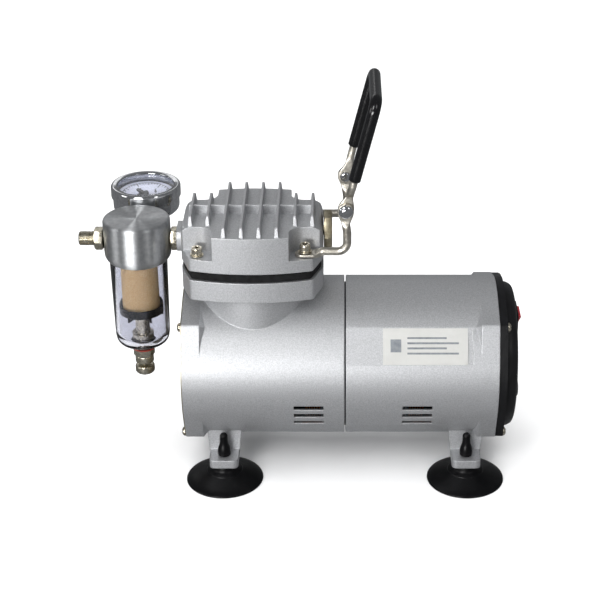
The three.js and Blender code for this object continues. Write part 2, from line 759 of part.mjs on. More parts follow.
function statorWinding() {
  const bar = block([STATOR[0] - 2, STATOR[1] + 2], [-3.6, 3.6], [30.6, 39.4]);
  const turn = 360 / STATOR_SLOTS;
  const bars = Array.from({ length: STATOR_SLOTS }, (_, i) => bar.rotate([i * turn, 0, 0]));
  const front = tube(43, 30, STATOR[0] - 11, STATOR[0] - 0.6, 20, "x");
  const rear = tube(43, 30, STATOR[1] + 0.6, STATOR[1] + 11, 20, "x");
  return join(front, rear, ...bars);
}

function motorShaft() {
  const [front, rear] = [FRONT_BEARING_X + 7, REAR_BEARING_X - 6];
  const outline = [
    [0, -47],
    [SHAFT_END_RADIUS, -47],
    [SHAFT_END_RADIUS, front],
    [SHAFT_RADIUS, front],
    [SHAFT_RADIUS, rear],
    [SHAFT_END_RADIUS, rear],
    [SHAFT_END_RADIUS, 92],
    [0, 92],
  ];
  return turned(outline, 20, "x");
}

function rotorCore() {
  return tube(27.5, SHAFT_RADIUS + CLEARANCE, ...STATOR, 24, "x");
}

// A ball bearing as one ring, with the groove between its two races on the front.
function bearing(middle) {
  const bore = SHAFT_END_RADIUS + CLEARANCE;
  const [front, rear] = [middle - BEARING_WIDTH / 2, middle + BEARING_WIDTH / 2];
  const outline = [
    [bore, front],
    [6.3, front],
    [6.3, front + 0.6],
    [8.9, front + 0.6],
    [8.9, front],
    [BEARING_RADIUS, front],
    [BEARING_RADIUS, rear],
    [bore, rear],
    [bore, front],
  ];
  return turned(outline, 14, "x");
}

function coolingFan() {
  const hub = tube(9, SHAFT_END_RADIUS + CLEARANCE, FAN_X - 7, FAN_X + 7, 14, "x");
  const blade = block([-0.8, 0.8], [-7, 7], [8, 40]).rotate([0, 0, 35]).translate([FAN_X, 0, 0]);
  const blades = Array.from({ length: FAN_BLADES }, (_, i) => blade.rotate([(i * 360) / FAN_BLADES, 0, 0]));
  return join(hub, ...blades);
}

// Crank web with a counterweight. Its short pin stops clear of the big-end bearing.
function crankEccentric() {
  const [front, rear] = CRANK_X;
  const web = drum(14, front, rear, 16, "x");
  const weight = cut(drum(27, front, rear, 20, "x"), block([front - 1, rear + 1], [-30, 30], [-9, 30]));
  const sleeve = drum(8, rear - 1, rear + 2.4, 20, "x");
  const pin = drum(4, front - 1, front + 1, 12, "x").translate([0, 0, STROKE / 2]);
  const bore = drum(SHAFT_END_RADIUS + CLEARANCE, rear + 0.4, rear + 8, 16, "x");
  return cut(join(web, weight, sleeve, pin), bore);
}

// ---- Piston and rod, heights above the motor axis ----
function connectingRod() {
  const ring = tube(15, BEARING_RADIUS + CLEARANCE, CYLINDER_X - 5, CYLINDER_X + 5, 20, "x");
  const eye = ring.translate([0, 0, STROKE / 2]);
  const top = PISTON_TOP - SHAFT_HEIGHT;
  const shank = block([CYLINDER_X - 4, CYLINDER_X + 4], [-6, 6], [STROKE / 2 + 12.5, top - 5]);
  const crown = drum(20, top - 6, top - 2.2, 20).translate([CYLINDER_X, 0, 0]);
  return join(eye, shank, crown);
}

function pistonCup() {
  const top = PISTON_TOP - SHAFT_HEIGHT;
  const outline = [
    [0, top - 1.9],
    [22.4, top - 1.9],
    [22.8, top - 6],
    [23.6, top - 6],
    [23.6, top - 1],
    [21.4, top],
    [0, top],
  ];
  return turned(outline, 24).translate([CYLINDER_X, 0, 0]);
}

// ---- Feet ----
function suctionFoot() {
  const underTab = TAB.bottom - CLEARANCE;
  const overTab = TAB.top + CLEARANCE;
  const outline = [
    [0, 5.2],
    [12, 4.2],
    [23.6, 0],
    [FOOT_RADIUS, 0],
    [FOOT_RADIUS, 0.9],
    [10.4, 8.4],
    [8.6, 9.6],
    [8.6, underTab],
    [3.1, underTab],
    [3.1, overTab],
    [4.3, overTab],
    [4.3, 21.4],
    [2.7, 28.6],
    [2.6, 34],
    [0, 36],
  ];
  return turned(outline, 16);
}

// ---- Handle ----
// A flat eye in the x-z plane about its hole, its neck running down or up to meet the round rod.
function rodEye(from, to, neck) {
  const eye = drum(EYE_RADIUS, from, to, 14, "y");
  const sign = Math.sign(neck);
  const web = polygon([
    [-5.1, sign],
    [5.1, sign],
    [ROD_RADIUS, neck],
    [-ROD_RADIUS, neck],
  ]);
  return join(eye, extruded(web, from, to, "y"));
}

// The rear bracket, at +y. The front one is its mirror image.
function handleBracket() {
  const boltX = CYLINDER_X + BOLT_X;
  const plateBottom = HEAD_LEDGE + CLEARANCE;
  const rodHeight = plateBottom + ROD_RADIUS + 0.1;
  const uprightX = 1.2;
  const path = rodPath(
    [
      new THREE.Vector3(boltX + 7, BOLT_Y, rodHeight),
      new THREE.Vector3(uprightX, BOLT_Y, rodHeight),
      new THREE.Vector3(uprightX, BOLT_Y, PIVOT.z - 10),
    ],
    ROD_BEND,
  );
  const across = [BOLT_Y - 4.8, BOLT_Y + 4.8];
  const plate = block([boltX - 5.5, boltX + 8], across, [plateBottom, plateBottom + 2.2]);
  const eye = rodEye(...BRACKET_EYE, -13).translate([PIVOT.x, 0, PIVOT.z]);
  return cut(
    join(rod(path, ROD_RADIUS, 16), plate, eye),
    drum(EYE_HOLE, 20, 40, 10, "y").translate([PIVOT.x, 0, PIVOT.z]),
    drum(2.3, plateBottom - 1, plateBottom + 4, 8).translate([boltX, BOLT_Y, 0]),
  );
}

// Handle pieces stand upright about the pivot; their group is turned to the lean.
function bailPath(start) {
  return rodPath(
    [
      new THREE.Vector3(0, -BAIL_Y, start),
      new THREE.Vector3(0, -BAIL_Y, BAIL_HEIGHT),
      new THREE.Vector3(0, BAIL_Y, BAIL_HEIGHT),
      new THREE.Vector3(0, BAIL_Y, start),
    ],
    ROD_BEND,
  );
}

function handleBail() {
  const eye = rodEye(...BAIL_EYE, 15);
  const bar = rod(bailPath(BAIL_START), BAIL_RADIUS, 44);
  return cut(join(bar, eye, eye.mirror([0, 1, 0])), drum(EYE_HOLE, -40, 40, 10, "y"));
}

function handleGrip() {
  const sleeve = rod(bailPath(GRIP_START), GRIP_RADIUS, 44);
  return cut(sleeve, rod(bailPath(BAIL_START), BAIL_RADIUS + CLEARANCE, 44));
}

function rivet() {
  const inner = BAIL_EYE[0] - CLEARANCE;
  const outer = BRACKET_EYE[1] + CLEARANCE;
  const outline = [
    [0, inner - 1.2],
    [2.6, inner - 1.2],
    [3.6, inner],
    [RIVET_RADIUS, inner],
    [RIVET_RADIUS, outer],
    [4.6, outer],
    [4.2, outer + 1.4],
    [2.6, outer + 2.4],
    [0, outer + 2.8],
  ];
  return turned(outline, 12, "y");
}

// ---- Switch, about its own centre on the cap's end face ----
function switchFrame() {
  const shroud = block([-9, 0.5], [-9.5, 9.5], [-6.6, 6.6]);
  const rim = block([CLEARANCE, 1.8], [-10.6, 10.6], [-7.6, 7.6]);
  return cut(join(shroud, rim), block([-7, 3], [-8.4, 8.4], [-6, 6]));
}

// The rocker tilts about y, and is pressed in at the bottom at rest.
function switchRocker() {
  const side = polygon([
    [-2.5, -4.6],
    [1.4, -4.6],
    [1.9, 0],
    [4.1, 4.4],
    [-2.5, 4.6],
  ]);
  return extruded(side, -7.9, 7.9, "y");
}

function cableGland() {
  const end = GLAND_END - CAP_END;
  const outline = [
    [3.4, -6],
    [6, -6],
    [6, CLEARANCE],
    [7.6, CLEARANCE],
    [7.6, 2],
    [5.6, end],
    [3.4, end],
    [3.4, -6],
  ];
  return turned(outline, 16, "x");
}

// ---- Assembly ----
const compressor = new THREE.Group();
const part = at(new THREE.Group(), -CENTRE_X, 0, 0);
compressor.add(part);

// Everything on the motor axis.
const motor = at(new THREE.Group(), 0, 0, SHAFT_HEIGHT);
part.add(motor);
const motorPieces = [
  ["crankcase_housing", crankcaseHousing, paint],
  ["motor_housing", motorHousing, paint],
  ["front_cover", coverPlate, paint],
  ["rear_cap", rearCap, blackPlastic],
  ["stator_core", statorCore, castIron],
  ["stator_winding", statorWinding, copper],
  ["motor_shaft", motorShaft, steel],
  ["rotor_core", rotorCore, castIron],
  ["shaft_bearing_front", () => bearing(FRONT_BEARING_X), steel],
  ["shaft_bearing_rear", () => bearing(REAR_BEARING_X), steel],
  ["cooling_fan", coolingFan, blackPlastic],
  ["crank_eccentric", crankEccentric, castIron],
  ["connecting_rod", connectingRod, aluminium],
  ["piston_cup", pistonCup, blackRubber],
];
motorPieces.forEach(([name, make, material]) => motor.add(mesh(geometryOf(make()), name, material)));
motor.add(at(mesh(geometryOf(bearing(CYLINDER_X)), "big_end_bearing", steel), 0, 0, STROKE / 2));

const screw = geometryOf(panScrew());
screwPlaces.forEach(([y, z], i) => {
  const front = FRONT_END - COVER_THICKNESS - 2 * CLEARANCE;
  const rear = REAR_END + 2 * CLEARANCE + CAP_FLANGE;
  motor.add(at(mesh(screw, "front_cover_screw_" + (i + 1), steel), front, y, z));
  const turnedRound = at(mesh(screw, "rear_cap_screw_" + (i + 1), steel), rear, y, z);
  turnedRound.rotation.z = Math.PI;
  motor.add(turnedRound);
});

const capFace = at(new THREE.Group(), CAP_END, 0, 0);
motor.add(capFace);
capFace.add(at(mesh(geometryOf(switchFrame()), "switch_frame", blackPlastic), 0, 0, SWITCH_HEIGHT));
capFace.add(at(mesh(geometryOf(switchRocker()), "switch_rocker", redPlastic), 0, 0, SWITCH_HEIGHT));
capFace.add(at(mesh(geometryOf(cableGland()), "cable_gland", blackPlastic), 0, 0, -GLAND_DROP));

// The pump stack on the cylinder axis.
const pump = at(new THREE.Group(), CYLINDER_X, 0, 0);
part.add(pump);
pump.add(mesh(geometryOf(cylinderLiner()), "cylinder_liner", aluminium));
pump.add(mesh(geometryOf(valvePlate()), "valve_plate", blackPlastic));
pump.add(mesh(geometryOf(cylinderHead()), "cylinder_head", paint));
pump.add(at(mesh(geometryOf(exhaustMuffler()), "exhaust_muffler", nickel), 0, 0, OUTLET_HEIGHT));
const bolt = geometryOf(capBolt());
headBoltPlaces.forEach(([x, y], i) => {
  const onBracket = x > 0 ? 2.5 + CLEARANCE : CLEARANCE;
  pump.add(at(mesh(bolt, "head_bolt_" + (i + 1), nickel), x, y, HEAD_LEDGE + onBracket));
});

// The intake filter, its fittings and the gauge behind it.
const filter = at(new THREE.Group(), FILTER_X, 0, 0);
part.add(filter);
const filterPieces = [
  ["filter_head", filterHead, aluminium],
  ["filter_bowl", filterBowl, clear],
  ["filter_element", filterElement, sintered],
  ["filter_baffle", filterBaffle, blackPlastic],
  ["filter_stem", filterStem, steel],
  ["drain_body", drainBody, nickel],
  ["drain_seal", drainSeal, blackRubber],
  ["drain_knob", drainKnob, nickel],
];
filterPieces.forEach(([name, make, material]) => filter.add(mesh(geometryOf(make()), name, material)));
filter.add(at(mesh(geometryOf(hoseNipple()), "hose_nipple", nickel), 0, 0, PORT_HEIGHT));
const nippleFrom = FILTER_RADIUS - 0.6 + CLEARANCE;
const nippleTo = CYLINDER_X - BOSS_REACH - FILTER_X - CLEARANCE;
const nipple = geometryOf(joiningNipple(nippleFrom, nippleTo));
filter.add(at(mesh(nipple, "joining_nipple", nickel), 0, 0, PORT_HEIGHT));

const gauge = at(new THREE.Group(), GAUGE_X, GAUGE_Y, 0);
filter.add(gauge);
filter.add(at(mesh(geometryOf(gaugeElbow()), "gauge_elbow", nickel), 0, GAUGE_Y, GAUGE_PORT));
gauge.add(mesh(geometryOf(gaugeCase()), "gauge_case", chrome));
gauge.add(mesh(geometryOf(gaugeBezel()), "gauge_bezel", chrome));
gauge.add(mesh(geometryOf(drum(20.2, 176.7, 178, 24)), "gauge_lens", clear));
gauge.add(mesh(geometryOf(tube(20.2, 1.5, 170.6, 171.4, 24)), "gauge_dial", dialWhite));
const needle = mesh(geometryOf(gaugeNeedle()), "gauge_needle", blackPlastic);
needle.rotation.z = NEEDLE_TURN;
gauge.add(needle);

// Feet.
const foot = geometryOf(suctionFoot());
const footPlaces = [
  [-FOOT_X, -FOOT_Y],
  [FOOT_X, -FOOT_Y],
  [-FOOT_X, FOOT_Y],
  [FOOT_X, FOOT_Y],
];
footPlaces.forEach(([x, y], i) => {
  part.add(at(mesh(foot, "suction_foot_" + (i + 1), blackRubber), x, y, 0));
});

// The carrying handle: two brackets, riveted pivots, and the bail with its grip.
const bracket = handleBracket();
part.add(mesh(geometryOf(bracket), "handle_bracket_rear", steel));
part.add(mesh(geometryOf(bracket.mirror([0, 1, 0])), "handle_bracket_front", steel));
const pin = rivet();
part.add(at(mesh(geometryOf(pin), "handle_rivet_rear", chrome), PIVOT.x, 0, PIVOT.z));
part.add(at(mesh(geometryOf(pin.mirror([0, 1, 0])), "handle_rivet_front", chrome), PIVOT.x, 0, PIVOT.z));
const bail = at(new THREE.Group(), PIVOT.x, 0, PIVOT.z);
bail.rotation.y = BAIL_LEAN;
bail.add(mesh(geometryOf(handleBail()), "handle_bail", steel));
bail.add(mesh(geometryOf(handleGrip()), "handle_grip", blackRubber));
part.add(bail);

export default compressor;
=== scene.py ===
"""A small oil-less airbrush compressor: die-cast casings round a motor, a finned pump head, an intake
filter with a clear bowl and a gauge, a folding carrying handle and four suction feet.

Shapes are worked out in millimetres with x = 0 at the joint between the two castings, and every finished
piece is moved into the frame's own place, in metres."""
import json
import math
import bmesh
import bpy
from mathutils import Matrix, Vector


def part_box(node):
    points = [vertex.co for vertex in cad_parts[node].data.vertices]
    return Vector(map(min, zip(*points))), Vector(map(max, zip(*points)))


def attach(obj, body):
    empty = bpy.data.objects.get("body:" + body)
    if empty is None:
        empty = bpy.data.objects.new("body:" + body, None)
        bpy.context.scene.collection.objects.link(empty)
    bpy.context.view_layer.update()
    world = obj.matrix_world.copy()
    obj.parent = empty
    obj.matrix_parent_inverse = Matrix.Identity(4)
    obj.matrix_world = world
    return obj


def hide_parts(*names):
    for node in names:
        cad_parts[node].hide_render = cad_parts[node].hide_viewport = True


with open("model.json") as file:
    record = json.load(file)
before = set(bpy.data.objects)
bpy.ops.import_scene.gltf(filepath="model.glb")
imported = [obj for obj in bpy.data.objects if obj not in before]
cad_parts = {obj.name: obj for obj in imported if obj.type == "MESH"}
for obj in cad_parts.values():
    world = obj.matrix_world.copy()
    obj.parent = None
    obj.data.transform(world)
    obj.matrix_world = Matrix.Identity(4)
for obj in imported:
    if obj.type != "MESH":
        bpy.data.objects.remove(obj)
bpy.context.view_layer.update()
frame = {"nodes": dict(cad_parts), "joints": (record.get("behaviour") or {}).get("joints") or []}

MM = 0.001


def cad(node):
    """Lowest and highest corner of a CAD node in millimetres, in this script's frame."""
    low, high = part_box(node)
    return [Vector((c[0] / MM - SPLIT, c[1] / MM, c[2] / MM)) for c in (low, high)]


# ---- Places and sizes read from the frame ----
SPLIT = (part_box("crankcase_housing")[1][0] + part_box("motor_housing")[0][0]) / 2 / MM
FRONT_END = cad("crankcase_housing")[0].x
REAR_END = cad("motor_housing")[1].x
CASING = cad("motor_housing")[1].y
SHAFT_Z = (cad("motor_shaft")[0].z + cad("motor_shaft")[1].z) / 2
PUMP_X = (cad("valve_plate")[0].x + cad("valve_plate")[1].x) / 2
LOWER_TOP = cad("crankcase_housing")[1].z
LOWER_BASE = LOWER_TOP - 14
PLATE_Z = [c.z for c in cad("valve_plate")]
HEAD_LOW = PLATE_Z[1] + 0.3
FIN_TOP = cad("cylinder_head")[1].z
HEAD_HALF_DEPTH = cad("cylinder_head")[1].y
FILTER_X = (cad("filter_head")[0].x + cad("filter_head")[1].x) / 2
FILTER_Z = [c.z for c in cad("filter_head")]
FILTER_R = cad("filter_head")[1].y
GAUGE_X = (cad("gauge_bezel")[0].x + cad("gauge_bezel")[1].x) / 2
GAUGE_Y = (cad("gauge_bezel")[0].y + cad("gauge_bezel")[1].y) / 2
GAUGE_TOP = cad("gauge_bezel")[1].z
GAUGE_R = (cad("gauge_bezel")[1].x - cad("gauge_bezel")[0].x) / 2
JOINTS = {joint["name"]: joint for joint in frame["joints"]}
PIVOT = Vector(JOINTS["handle_fold"]["pos_m"]) / MM - Vector((SPLIT, 0, 0))
FEET = [(a + b) / 2 for a, b in (cad(f"suction_foot_{i}") for i in (1, 2, 3, 4))]
FOOT_R = (cad("suction_foot_1")[1].x - cad("suction_foot_1")[0].x) / 2
TAB_LOW = cad("motor_housing")[0].z

# ---- Sizes of the visible shapes, in millimetres ----
WALL = 4
FLANGE = 12.6
CORNER_ANGLE = math.radians(43.3)
CORNER_REACH = 58.4
SCREW_CIRCLE = 54.6
HEAD_LEDGE = 161.6
HEAD_FLOOR = 178.2
FIN_PITCH = 11.3
HEAD_HALF_WIDTH = 46.5
TAB_TOP = 18.6
PORT_Z = 160
OUTLET_Z = 166
ON_SHAFT = (0, 0, SHAFT_Z)
ON_PUMP = (PUMP_X, 0, 0)
ON_PORT = (0, 0, PORT_Z)
ON_FILTER = (FILTER_X, 0, 0)
ON_GAUGE = (GAUGE_X, GAUGE_Y, 0)
ROUND = 128  # facets round a large circle
EDGE_BREAK = 0.45  # rounding left on the edges of a casting


# ---- Mesh helpers ----
def turn_to(axis):
    """The turn that lays a shape made along z along another axis."""
    if axis == "x":
        return Matrix.Rotation(math.radians(90), 4, "Y")
    if axis == "y":
        return Matrix.Rotation(math.radians(-90), 4, "X")
    return Matrix.Identity(4)


def softened(points, radius, closed=False, steps=4):
    """The outline with its corners rounded. A point may carry a radius of its own as a third number."""
    count = len(points)
    made = []
    for i, point in enumerate(points):
        here = Vector(point[:2])
        own = point[2] if len(point) > 2 else radius
        if not closed and i in (0, count - 1) or own <= 0:
            made.append(here)
            continue
        back = Vector(points[i - 1][:2]) - here
        ahead = Vector(points[(i + 1) % count][:2]) - here
        reach = min(own, back.length * 0.49, ahead.length * 0.49)
        start = here + back.normalized() * reach
        end = here + ahead.normalized() * reach
        for k in range(steps + 1):
            t = k / steps
            made.append(start * (1 - t) ** 2 + here * 2 * t * (1 - t) + end * t ** 2)
    return made


def loop(points):
    """A closed outline whose corners have only the roundings that they carry."""
    return softened(points, 0, closed=True)


def turned(points, at=(0, 0, 0), axis="z", radius=0.3, steps=64, closed=False):
    """A body of revolution from (radius, distance along the axis) points."""
    bm = bmesh.new()
    outline = softened(points, radius, closed)
    verts = [bm.verts.new((max(p.x, 0), 0, p.y)) for p in outline]
    pairs = list(zip(verts, verts[1:])) + ([(verts[-1], verts[0])] if closed else [])
    edges = [bm.edges.new(pair) for pair in pairs]
    bmesh.ops.spin(
        bm, geom=verts + edges, axis=(0, 0, 1), cent=(0, 0, 0), steps=steps, angle=2 * math.pi,
        use_merge=True
    )
    bmesh.ops.remove_doubles(bm, verts=bm.verts, dist=1e-4)
    bmesh.ops.recalc_face_normals(bm, faces=bm.faces)
    bm.transform(Matrix.Translation(at) @ turn_to(axis))
    return bm


def drum(radius, low, high, at, axis, steps):
    """A plain cylinder with square edges."""
    return turned([(0, low), (radius, low), (radius, high), (0, high)], at, axis, 0, steps)


def slab(outline, low, high, axis="z"):
    """An outline given a thickness. Outlines are (x, y) for z, (y, z) for x and (x, z) for y."""
    place = {"z": lambda u, v: (u, v, low), "x": lambda u, v: (low, u, v), "y": lambda u,
             v: (u, low, v)}[axis]
    along = {"z": (0, 0, 1), "x": (1, 0, 0), "y": (0, 1, 0)}[axis]
    bm = bmesh.new()
    face = bm.faces.new([bm.verts.new(place(p[0], p[1])) for p in outline])
    made = bmesh.ops.extrude_face_region(bm, geom=[face])
    lifted = [g for g in made["geom"] if isinstance(g, bmesh.types.BMVert)]
    bmesh.ops.translate(bm, verts=lifted, vec=Vector(along) * (high - low))
    bmesh.ops.recalc_face_normals(bm, faces=bm.faces)
    return bm


def brick(x, y, z):
    return slab([(x[0], y[0]), (x[1], y[0]), (x[1], y[1]), (x[0], y[1])], z[0], z[1])


def moved(bm, x=0, y=0, z=0):
    bmesh.ops.translate(bm, verts=bm.verts, vec=(x, y, z))
    return bm


def spun(bm, degrees, axis, about=(0, 0, 0)):
    bmesh.ops.rotate(bm, verts=bm.verts, cent=about, matrix=Matrix.Rotation(math.radians(degrees), 3, axis))
    return bm


def mirrored(bm, axis):
    bmesh.ops.scale(bm, verts=bm.verts, vec=[-1 if a == axis else 1 for a in "xyz"])
    bmesh.ops.recalc_face_normals(bm, faces=bm.faces)
    return bm


def combined(first, others, operation):
    """The first shape joined with or cut by the others."""
    objects = []
    for bm in [first] + list(others):
        mesh = bpy.data.meshes.new("shape")
        bm.to_mesh(mesh)
        bm.free()
        made = bpy.data.objects.new("shape", mesh)
        bpy.context.scene.collection.objects.link(made)
        objects.append(made)
    for other in objects[1:]:
        modifier = objects[0].modifiers.new("step", "BOOLEAN")
        modifier.operation = operation
        modifier.solver = "MANIFOLD"
        modifier.object = other
    bpy.context.view_layer.update()
    result = bmesh.new()
    evaluated = objects[0].evaluated_get(bpy.context.evaluated_depsgraph_get())
    result.from_mesh(evaluated.to_mesh())
    evaluated.to_mesh_clear()
    for made in objects:
        bpy.data.meshes.remove(made.data)
    bmesh.ops.remove_doubles(result, verts=result.verts, dist=1e-3)
    bmesh.ops.dissolve_limit(result, angle_limit=math.radians(0.4), verts=result.verts, edges=result.edges)
    return result


def join(first, *others):
    return combined(first, others, "UNION")


def cut(first, *others):
    return combined(first, others, "DIFFERENCE")


def heap(*shapes):
    """Several closed shapes kept side by side in one mesh."""
    result = bmesh.new()
    for bm in shapes:
        mesh = bpy.data.meshes.new("part")
        bm.to_mesh(mesh)
        bm.free()
        result.from_mesh(mesh)
        bpy.data.meshes.remove(mesh)
    return result


def arc(cx, cy, radius, start, end, steps=8):
    """Points on an arc, with its angles in radians."""
    angles = [start + (end - start) * k / steps for k in range(steps + 1)]
    return [(cx + radius * math.cos(a), cy + radius * math.sin(a)) for a in angles]


def route(points, bend, spacing=0.9):
    """Evenly spaced points along straight runs joined by round bends."""
    corners = [Vector(p) for p in points]
    dense = [corners[0]]
    for before, here, after in zip(corners, corners[1:], corners[2:]):
        back, ahead = (before - here).normalized(), (after - here).normalized()
        half = back.angle(ahead) / 2
        reach = bend / math.tan(half)
        start, end = here + back * reach, here + ahead * reach
        centre = here + (back + ahead).normalized() * bend / math.sin(half)
        sweep = math.pi - 2 * half
        normal = (start - centre).cross(end - centre).normalized()
        steps = max(6, int(sweep * bend / spacing))
        for k in range(steps + 1):
            dense.append(centre + Matrix.Rotation(sweep * k / steps, 3, normal) @ (start - centre))
    dense.append(corners[-1])
    evenly = [dense[0]]
    for start, end in zip(dense, dense[1:]):
        parts = max(1, round((end - start).length / spacing))
        evenly += [start.lerp(end, k / parts) for k in range(1, parts + 1) if (end - start).length > 1e-6]
    return evenly


def swept(path, normal, section, sides=24):
    """A rod along a path. section(distance, total) gives its half sizes along the normal and across it,
    and how square it is (2 is round)."""
    lengths = [0]
    for a, b in zip(path, path[1:]):
        lengths.append(lengths[-1] + (b - a).length)
    bm = bmesh.new()
    ring = None
    for i, point in enumerate(path):
        along = (path[min(i + 1, len(path) - 1)] - path[max(i - 1, 0)]).normalized()
        across = along.cross(normal).normalized()
        own = across.cross(along).normalized()
        half_n, half_a, square = section(lengths[i], lengths[-1])
        verts = []
        for k in range(sides):
            c, s = math.cos(2 * math.pi * k / sides), math.sin(2 * math.pi * k / sides)
            u = math.copysign(abs(c) ** (2 / square), c) * half_n
            v = math.copysign(abs(s) ** (2 / square), s) * half_a
            verts.append(bm.verts.new(point + own * u + across * v))
        edges = [bm.edges.new((a, b)) for a, b in zip(verts, verts[1:] + verts[:1])]
        if ring:
            bmesh.ops.bridge_loops(bm, edges=ring + edges)
        else:
            bmesh.ops.contextual_create(bm, geom=edges)
        ring = edges
    bmesh.ops.contextual_create(bm, geom=ring)
    bmesh.ops.recalc_face_normals(bm, faces=bm.faces)
    return bm


def hexagon(across_flats, turn=0.0):
    reach = across_flats / math.sqrt(3)
    angles = [turn + i * math.pi / 3 for i in range(6)]
    return [(reach * math.cos(a), reach * math.sin(a)) for a in angles]


def hex_nut(across_flats, low, high, axis, at=(0, 0, 0), turn=0.0, chamfer=0.9):
    """A hexagon with the chamfered faces that a turned nut has."""
    body = slab(hexagon(across_flats, turn), low, high)
    inner = across_flats / 2 - 0.2
    outer = across_flats / math.sqrt(3) + 0.2
    limit = turned(
        [(0, low), (inner, low), (outer, low + chamfer), (outer, high - chamfer), (inner, high), (0, high)],
        radius=0
    )
    nut = combined(body, [limit], "INTERSECT")
    nut.transform(Matrix.Translation(at) @ turn_to(axis))
    return nut


def finish(bm, name, body, nodes, material, bevel=0.0, sharp=32, segments=2):
    """Puts a shape in its place in the frame and makes it a finished piece."""
    if bevel:
        edges = [e for e in bm.edges if len(e.link_faces) == 2
                 and e.calc_face_angle(0) > math.radians(sharp)]
        bmesh.ops.bevel(
            bm, geom=edges, offset=bevel, offset_type="OFFSET", segments=segments, profile=0.5, material=-1,
            affect="EDGES", clamp_overlap=True,
        )
    bm.transform(Matrix.Scale(MM, 4) @ Matrix.Translation((SPLIT, 0, 0)))
    for face in bm.faces:
        face.smooth = True
    for edge in bm.edges:
        if len(edge.link_faces) == 2:
            edge.smooth = edge.calc_face_angle(0) < math.radians(38)
    mesh = bpy.data.meshes.new(name)
    bm.to_mesh(mesh)
    bm.free()
    piece = bpy.data.objects.new(name, mesh)
    bpy.context.scene.collection.objects.link(piece)
    mesh.materials.append(material)
    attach(piece, body)
    if nodes:
        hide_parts(*nodes)
    return piece


def weighted(piece):
    """Keeps flat faces flat beside their rounded edges."""
    modifier = piece.modifiers.new("flat faces", "WEIGHTED_NORMAL")
    modifier.keep_sharp = True
    return piece


# ---- Material helpers ----
def linear(code):
    """A hex sRGB colour as linear numbers."""
    values = [int(code[i : i + 2], 16) / 255 for i in (1, 3, 5)]
    return [v / 12.92 if v <= 0.04045 else ((v + 0.055) / 1.055) ** 2.4 for v in values] + [1.0]


def node(tree, kind, settings=None, **links):
    """Adds a shader node. Links are named for its inputs, with _ for a space or i0 and i1 for numbered
    ones,
    and each gives a socket or a value."""
    made = tree.nodes.new(kind)
    for key, value in (settings or {}).items():
        setattr(made, key, value)
    for key, value in links.items():
        numbered = key[0] == "i" and key[1:].isdigit()
        socket = made.inputs[int(key[1:]) if numbered else key.replace("_", " ")]
        if isinstance(value, bpy.types.NodeSocket):
            tree.links.new(value, socket)
        else:
            socket.default_value = value
    return made


def surface(name, **values):
    """A new material with its shader's sockets set. Returns the material, its tree and its shader."""
    material = bpy.data.materials.new(name)
    material.use_nodes = True
    tree = material.node_tree
    shader = tree.nodes["Principled BSDF"]
    for key, value in values.items():
        shader.inputs[key.replace("_", " ")].default_value = value
    return material, tree, shader


def places(tree):
    return node(tree, "ShaderNodeTexCoord").outputs["Object"]


def grain(tree, size_mm, detail=2.0, vector=None):
    """Fine noise whose grains are about size_mm across."""
    links = {"Vector": vector or places(tree), "Scale": 1 / (size_mm * MM), "Detail": detail}
    return node(tree, "ShaderNodeTexNoise", **links).outputs["Fac"]


def mixed(tree, factor, dark, light, low=0.3, high=0.7):
    """Two colours mixed by a pattern, with the pattern's range spread between low and high."""
    ramp = node(tree, "ShaderNodeValToRGB", Fac=factor)
    ramp.color_ramp.elements[0].position = low
    ramp.color_ramp.elements[1].position = high
    ramp.color_ramp.elements[0].color = linear(dark)
    ramp.color_ramp.elements[1].color = linear(light)
    return ramp.outputs["Color"]


def ranged(tree, factor, low, high):
    """A pattern's 0 to 1 spread between two values."""
    links = {"Value": factor, "From_Min": 0.3, "From_Max": 0.7, "To_Min": low, "To_Max": high}
    return node(tree, "ShaderNodeMapRange", **links).outputs["Result"]


def bumped(tree, shader, height, strength, distance_mm, normal=None):
    links = {"Height": height, "Strength": strength, "Distance": distance_mm * MM}
    if normal:
        links["Normal"] = normal
    bump = node(tree, "ShaderNodeBump", **links)
    tree.links.new(bump.outputs["Normal"], shader.inputs["Normal"])
    return bump.outputs["Normal"]


# ---- Materials ----
def silver_paint():
    # Sprayed metallic enamel over a die casting: a silver with fine bright and dark flakes and a slight
    # orange peel. The bevel node softens the casting's edges as the thick paint does.
    material, tree, shader = surface(
        "silver_metallic_enamel_sprayed", Metallic=0.85, Coat_Weight=0.08, Coat_Roughness=0.35
    )
    flake = grain(tree, 0.7, 3.0)
    tree.links.new(mixed(tree, flake, "#aeafb1", "#c3c4c6", 0.36, 0.64), shader.inputs["Base Color"])
    tree.links.new(ranged(tree, grain(tree, 1.1), 0.46, 0.56), shader.inputs["Roughness"])
    edge = node(tree, "ShaderNodeBevel", {"samples": 6}, Radius=0.8 * MM)
    peel = bumped(tree, shader, grain(tree, 2.2), 0.2, 0.03, edge.outputs["Normal"])
    bumped(tree, shader, flake, 0.12, 0.02, peel)
    return material


def shaded_cast_interior():
    # Unpainted die-cast aluminium inside the casing, dull, with its colour made near-black as painted
    # shade, so that the bore, the webs and the crank read dark through the slots.
    material, tree, shader = surface("die_cast_aluminium_raw_painted_shade", Metallic=0.9, Roughness=0.6)
    tree.links.new(mixed(tree, grain(tree, 0.9), "#2a2b2d", "#434548"), shader.inputs["Base Color"])
    return material


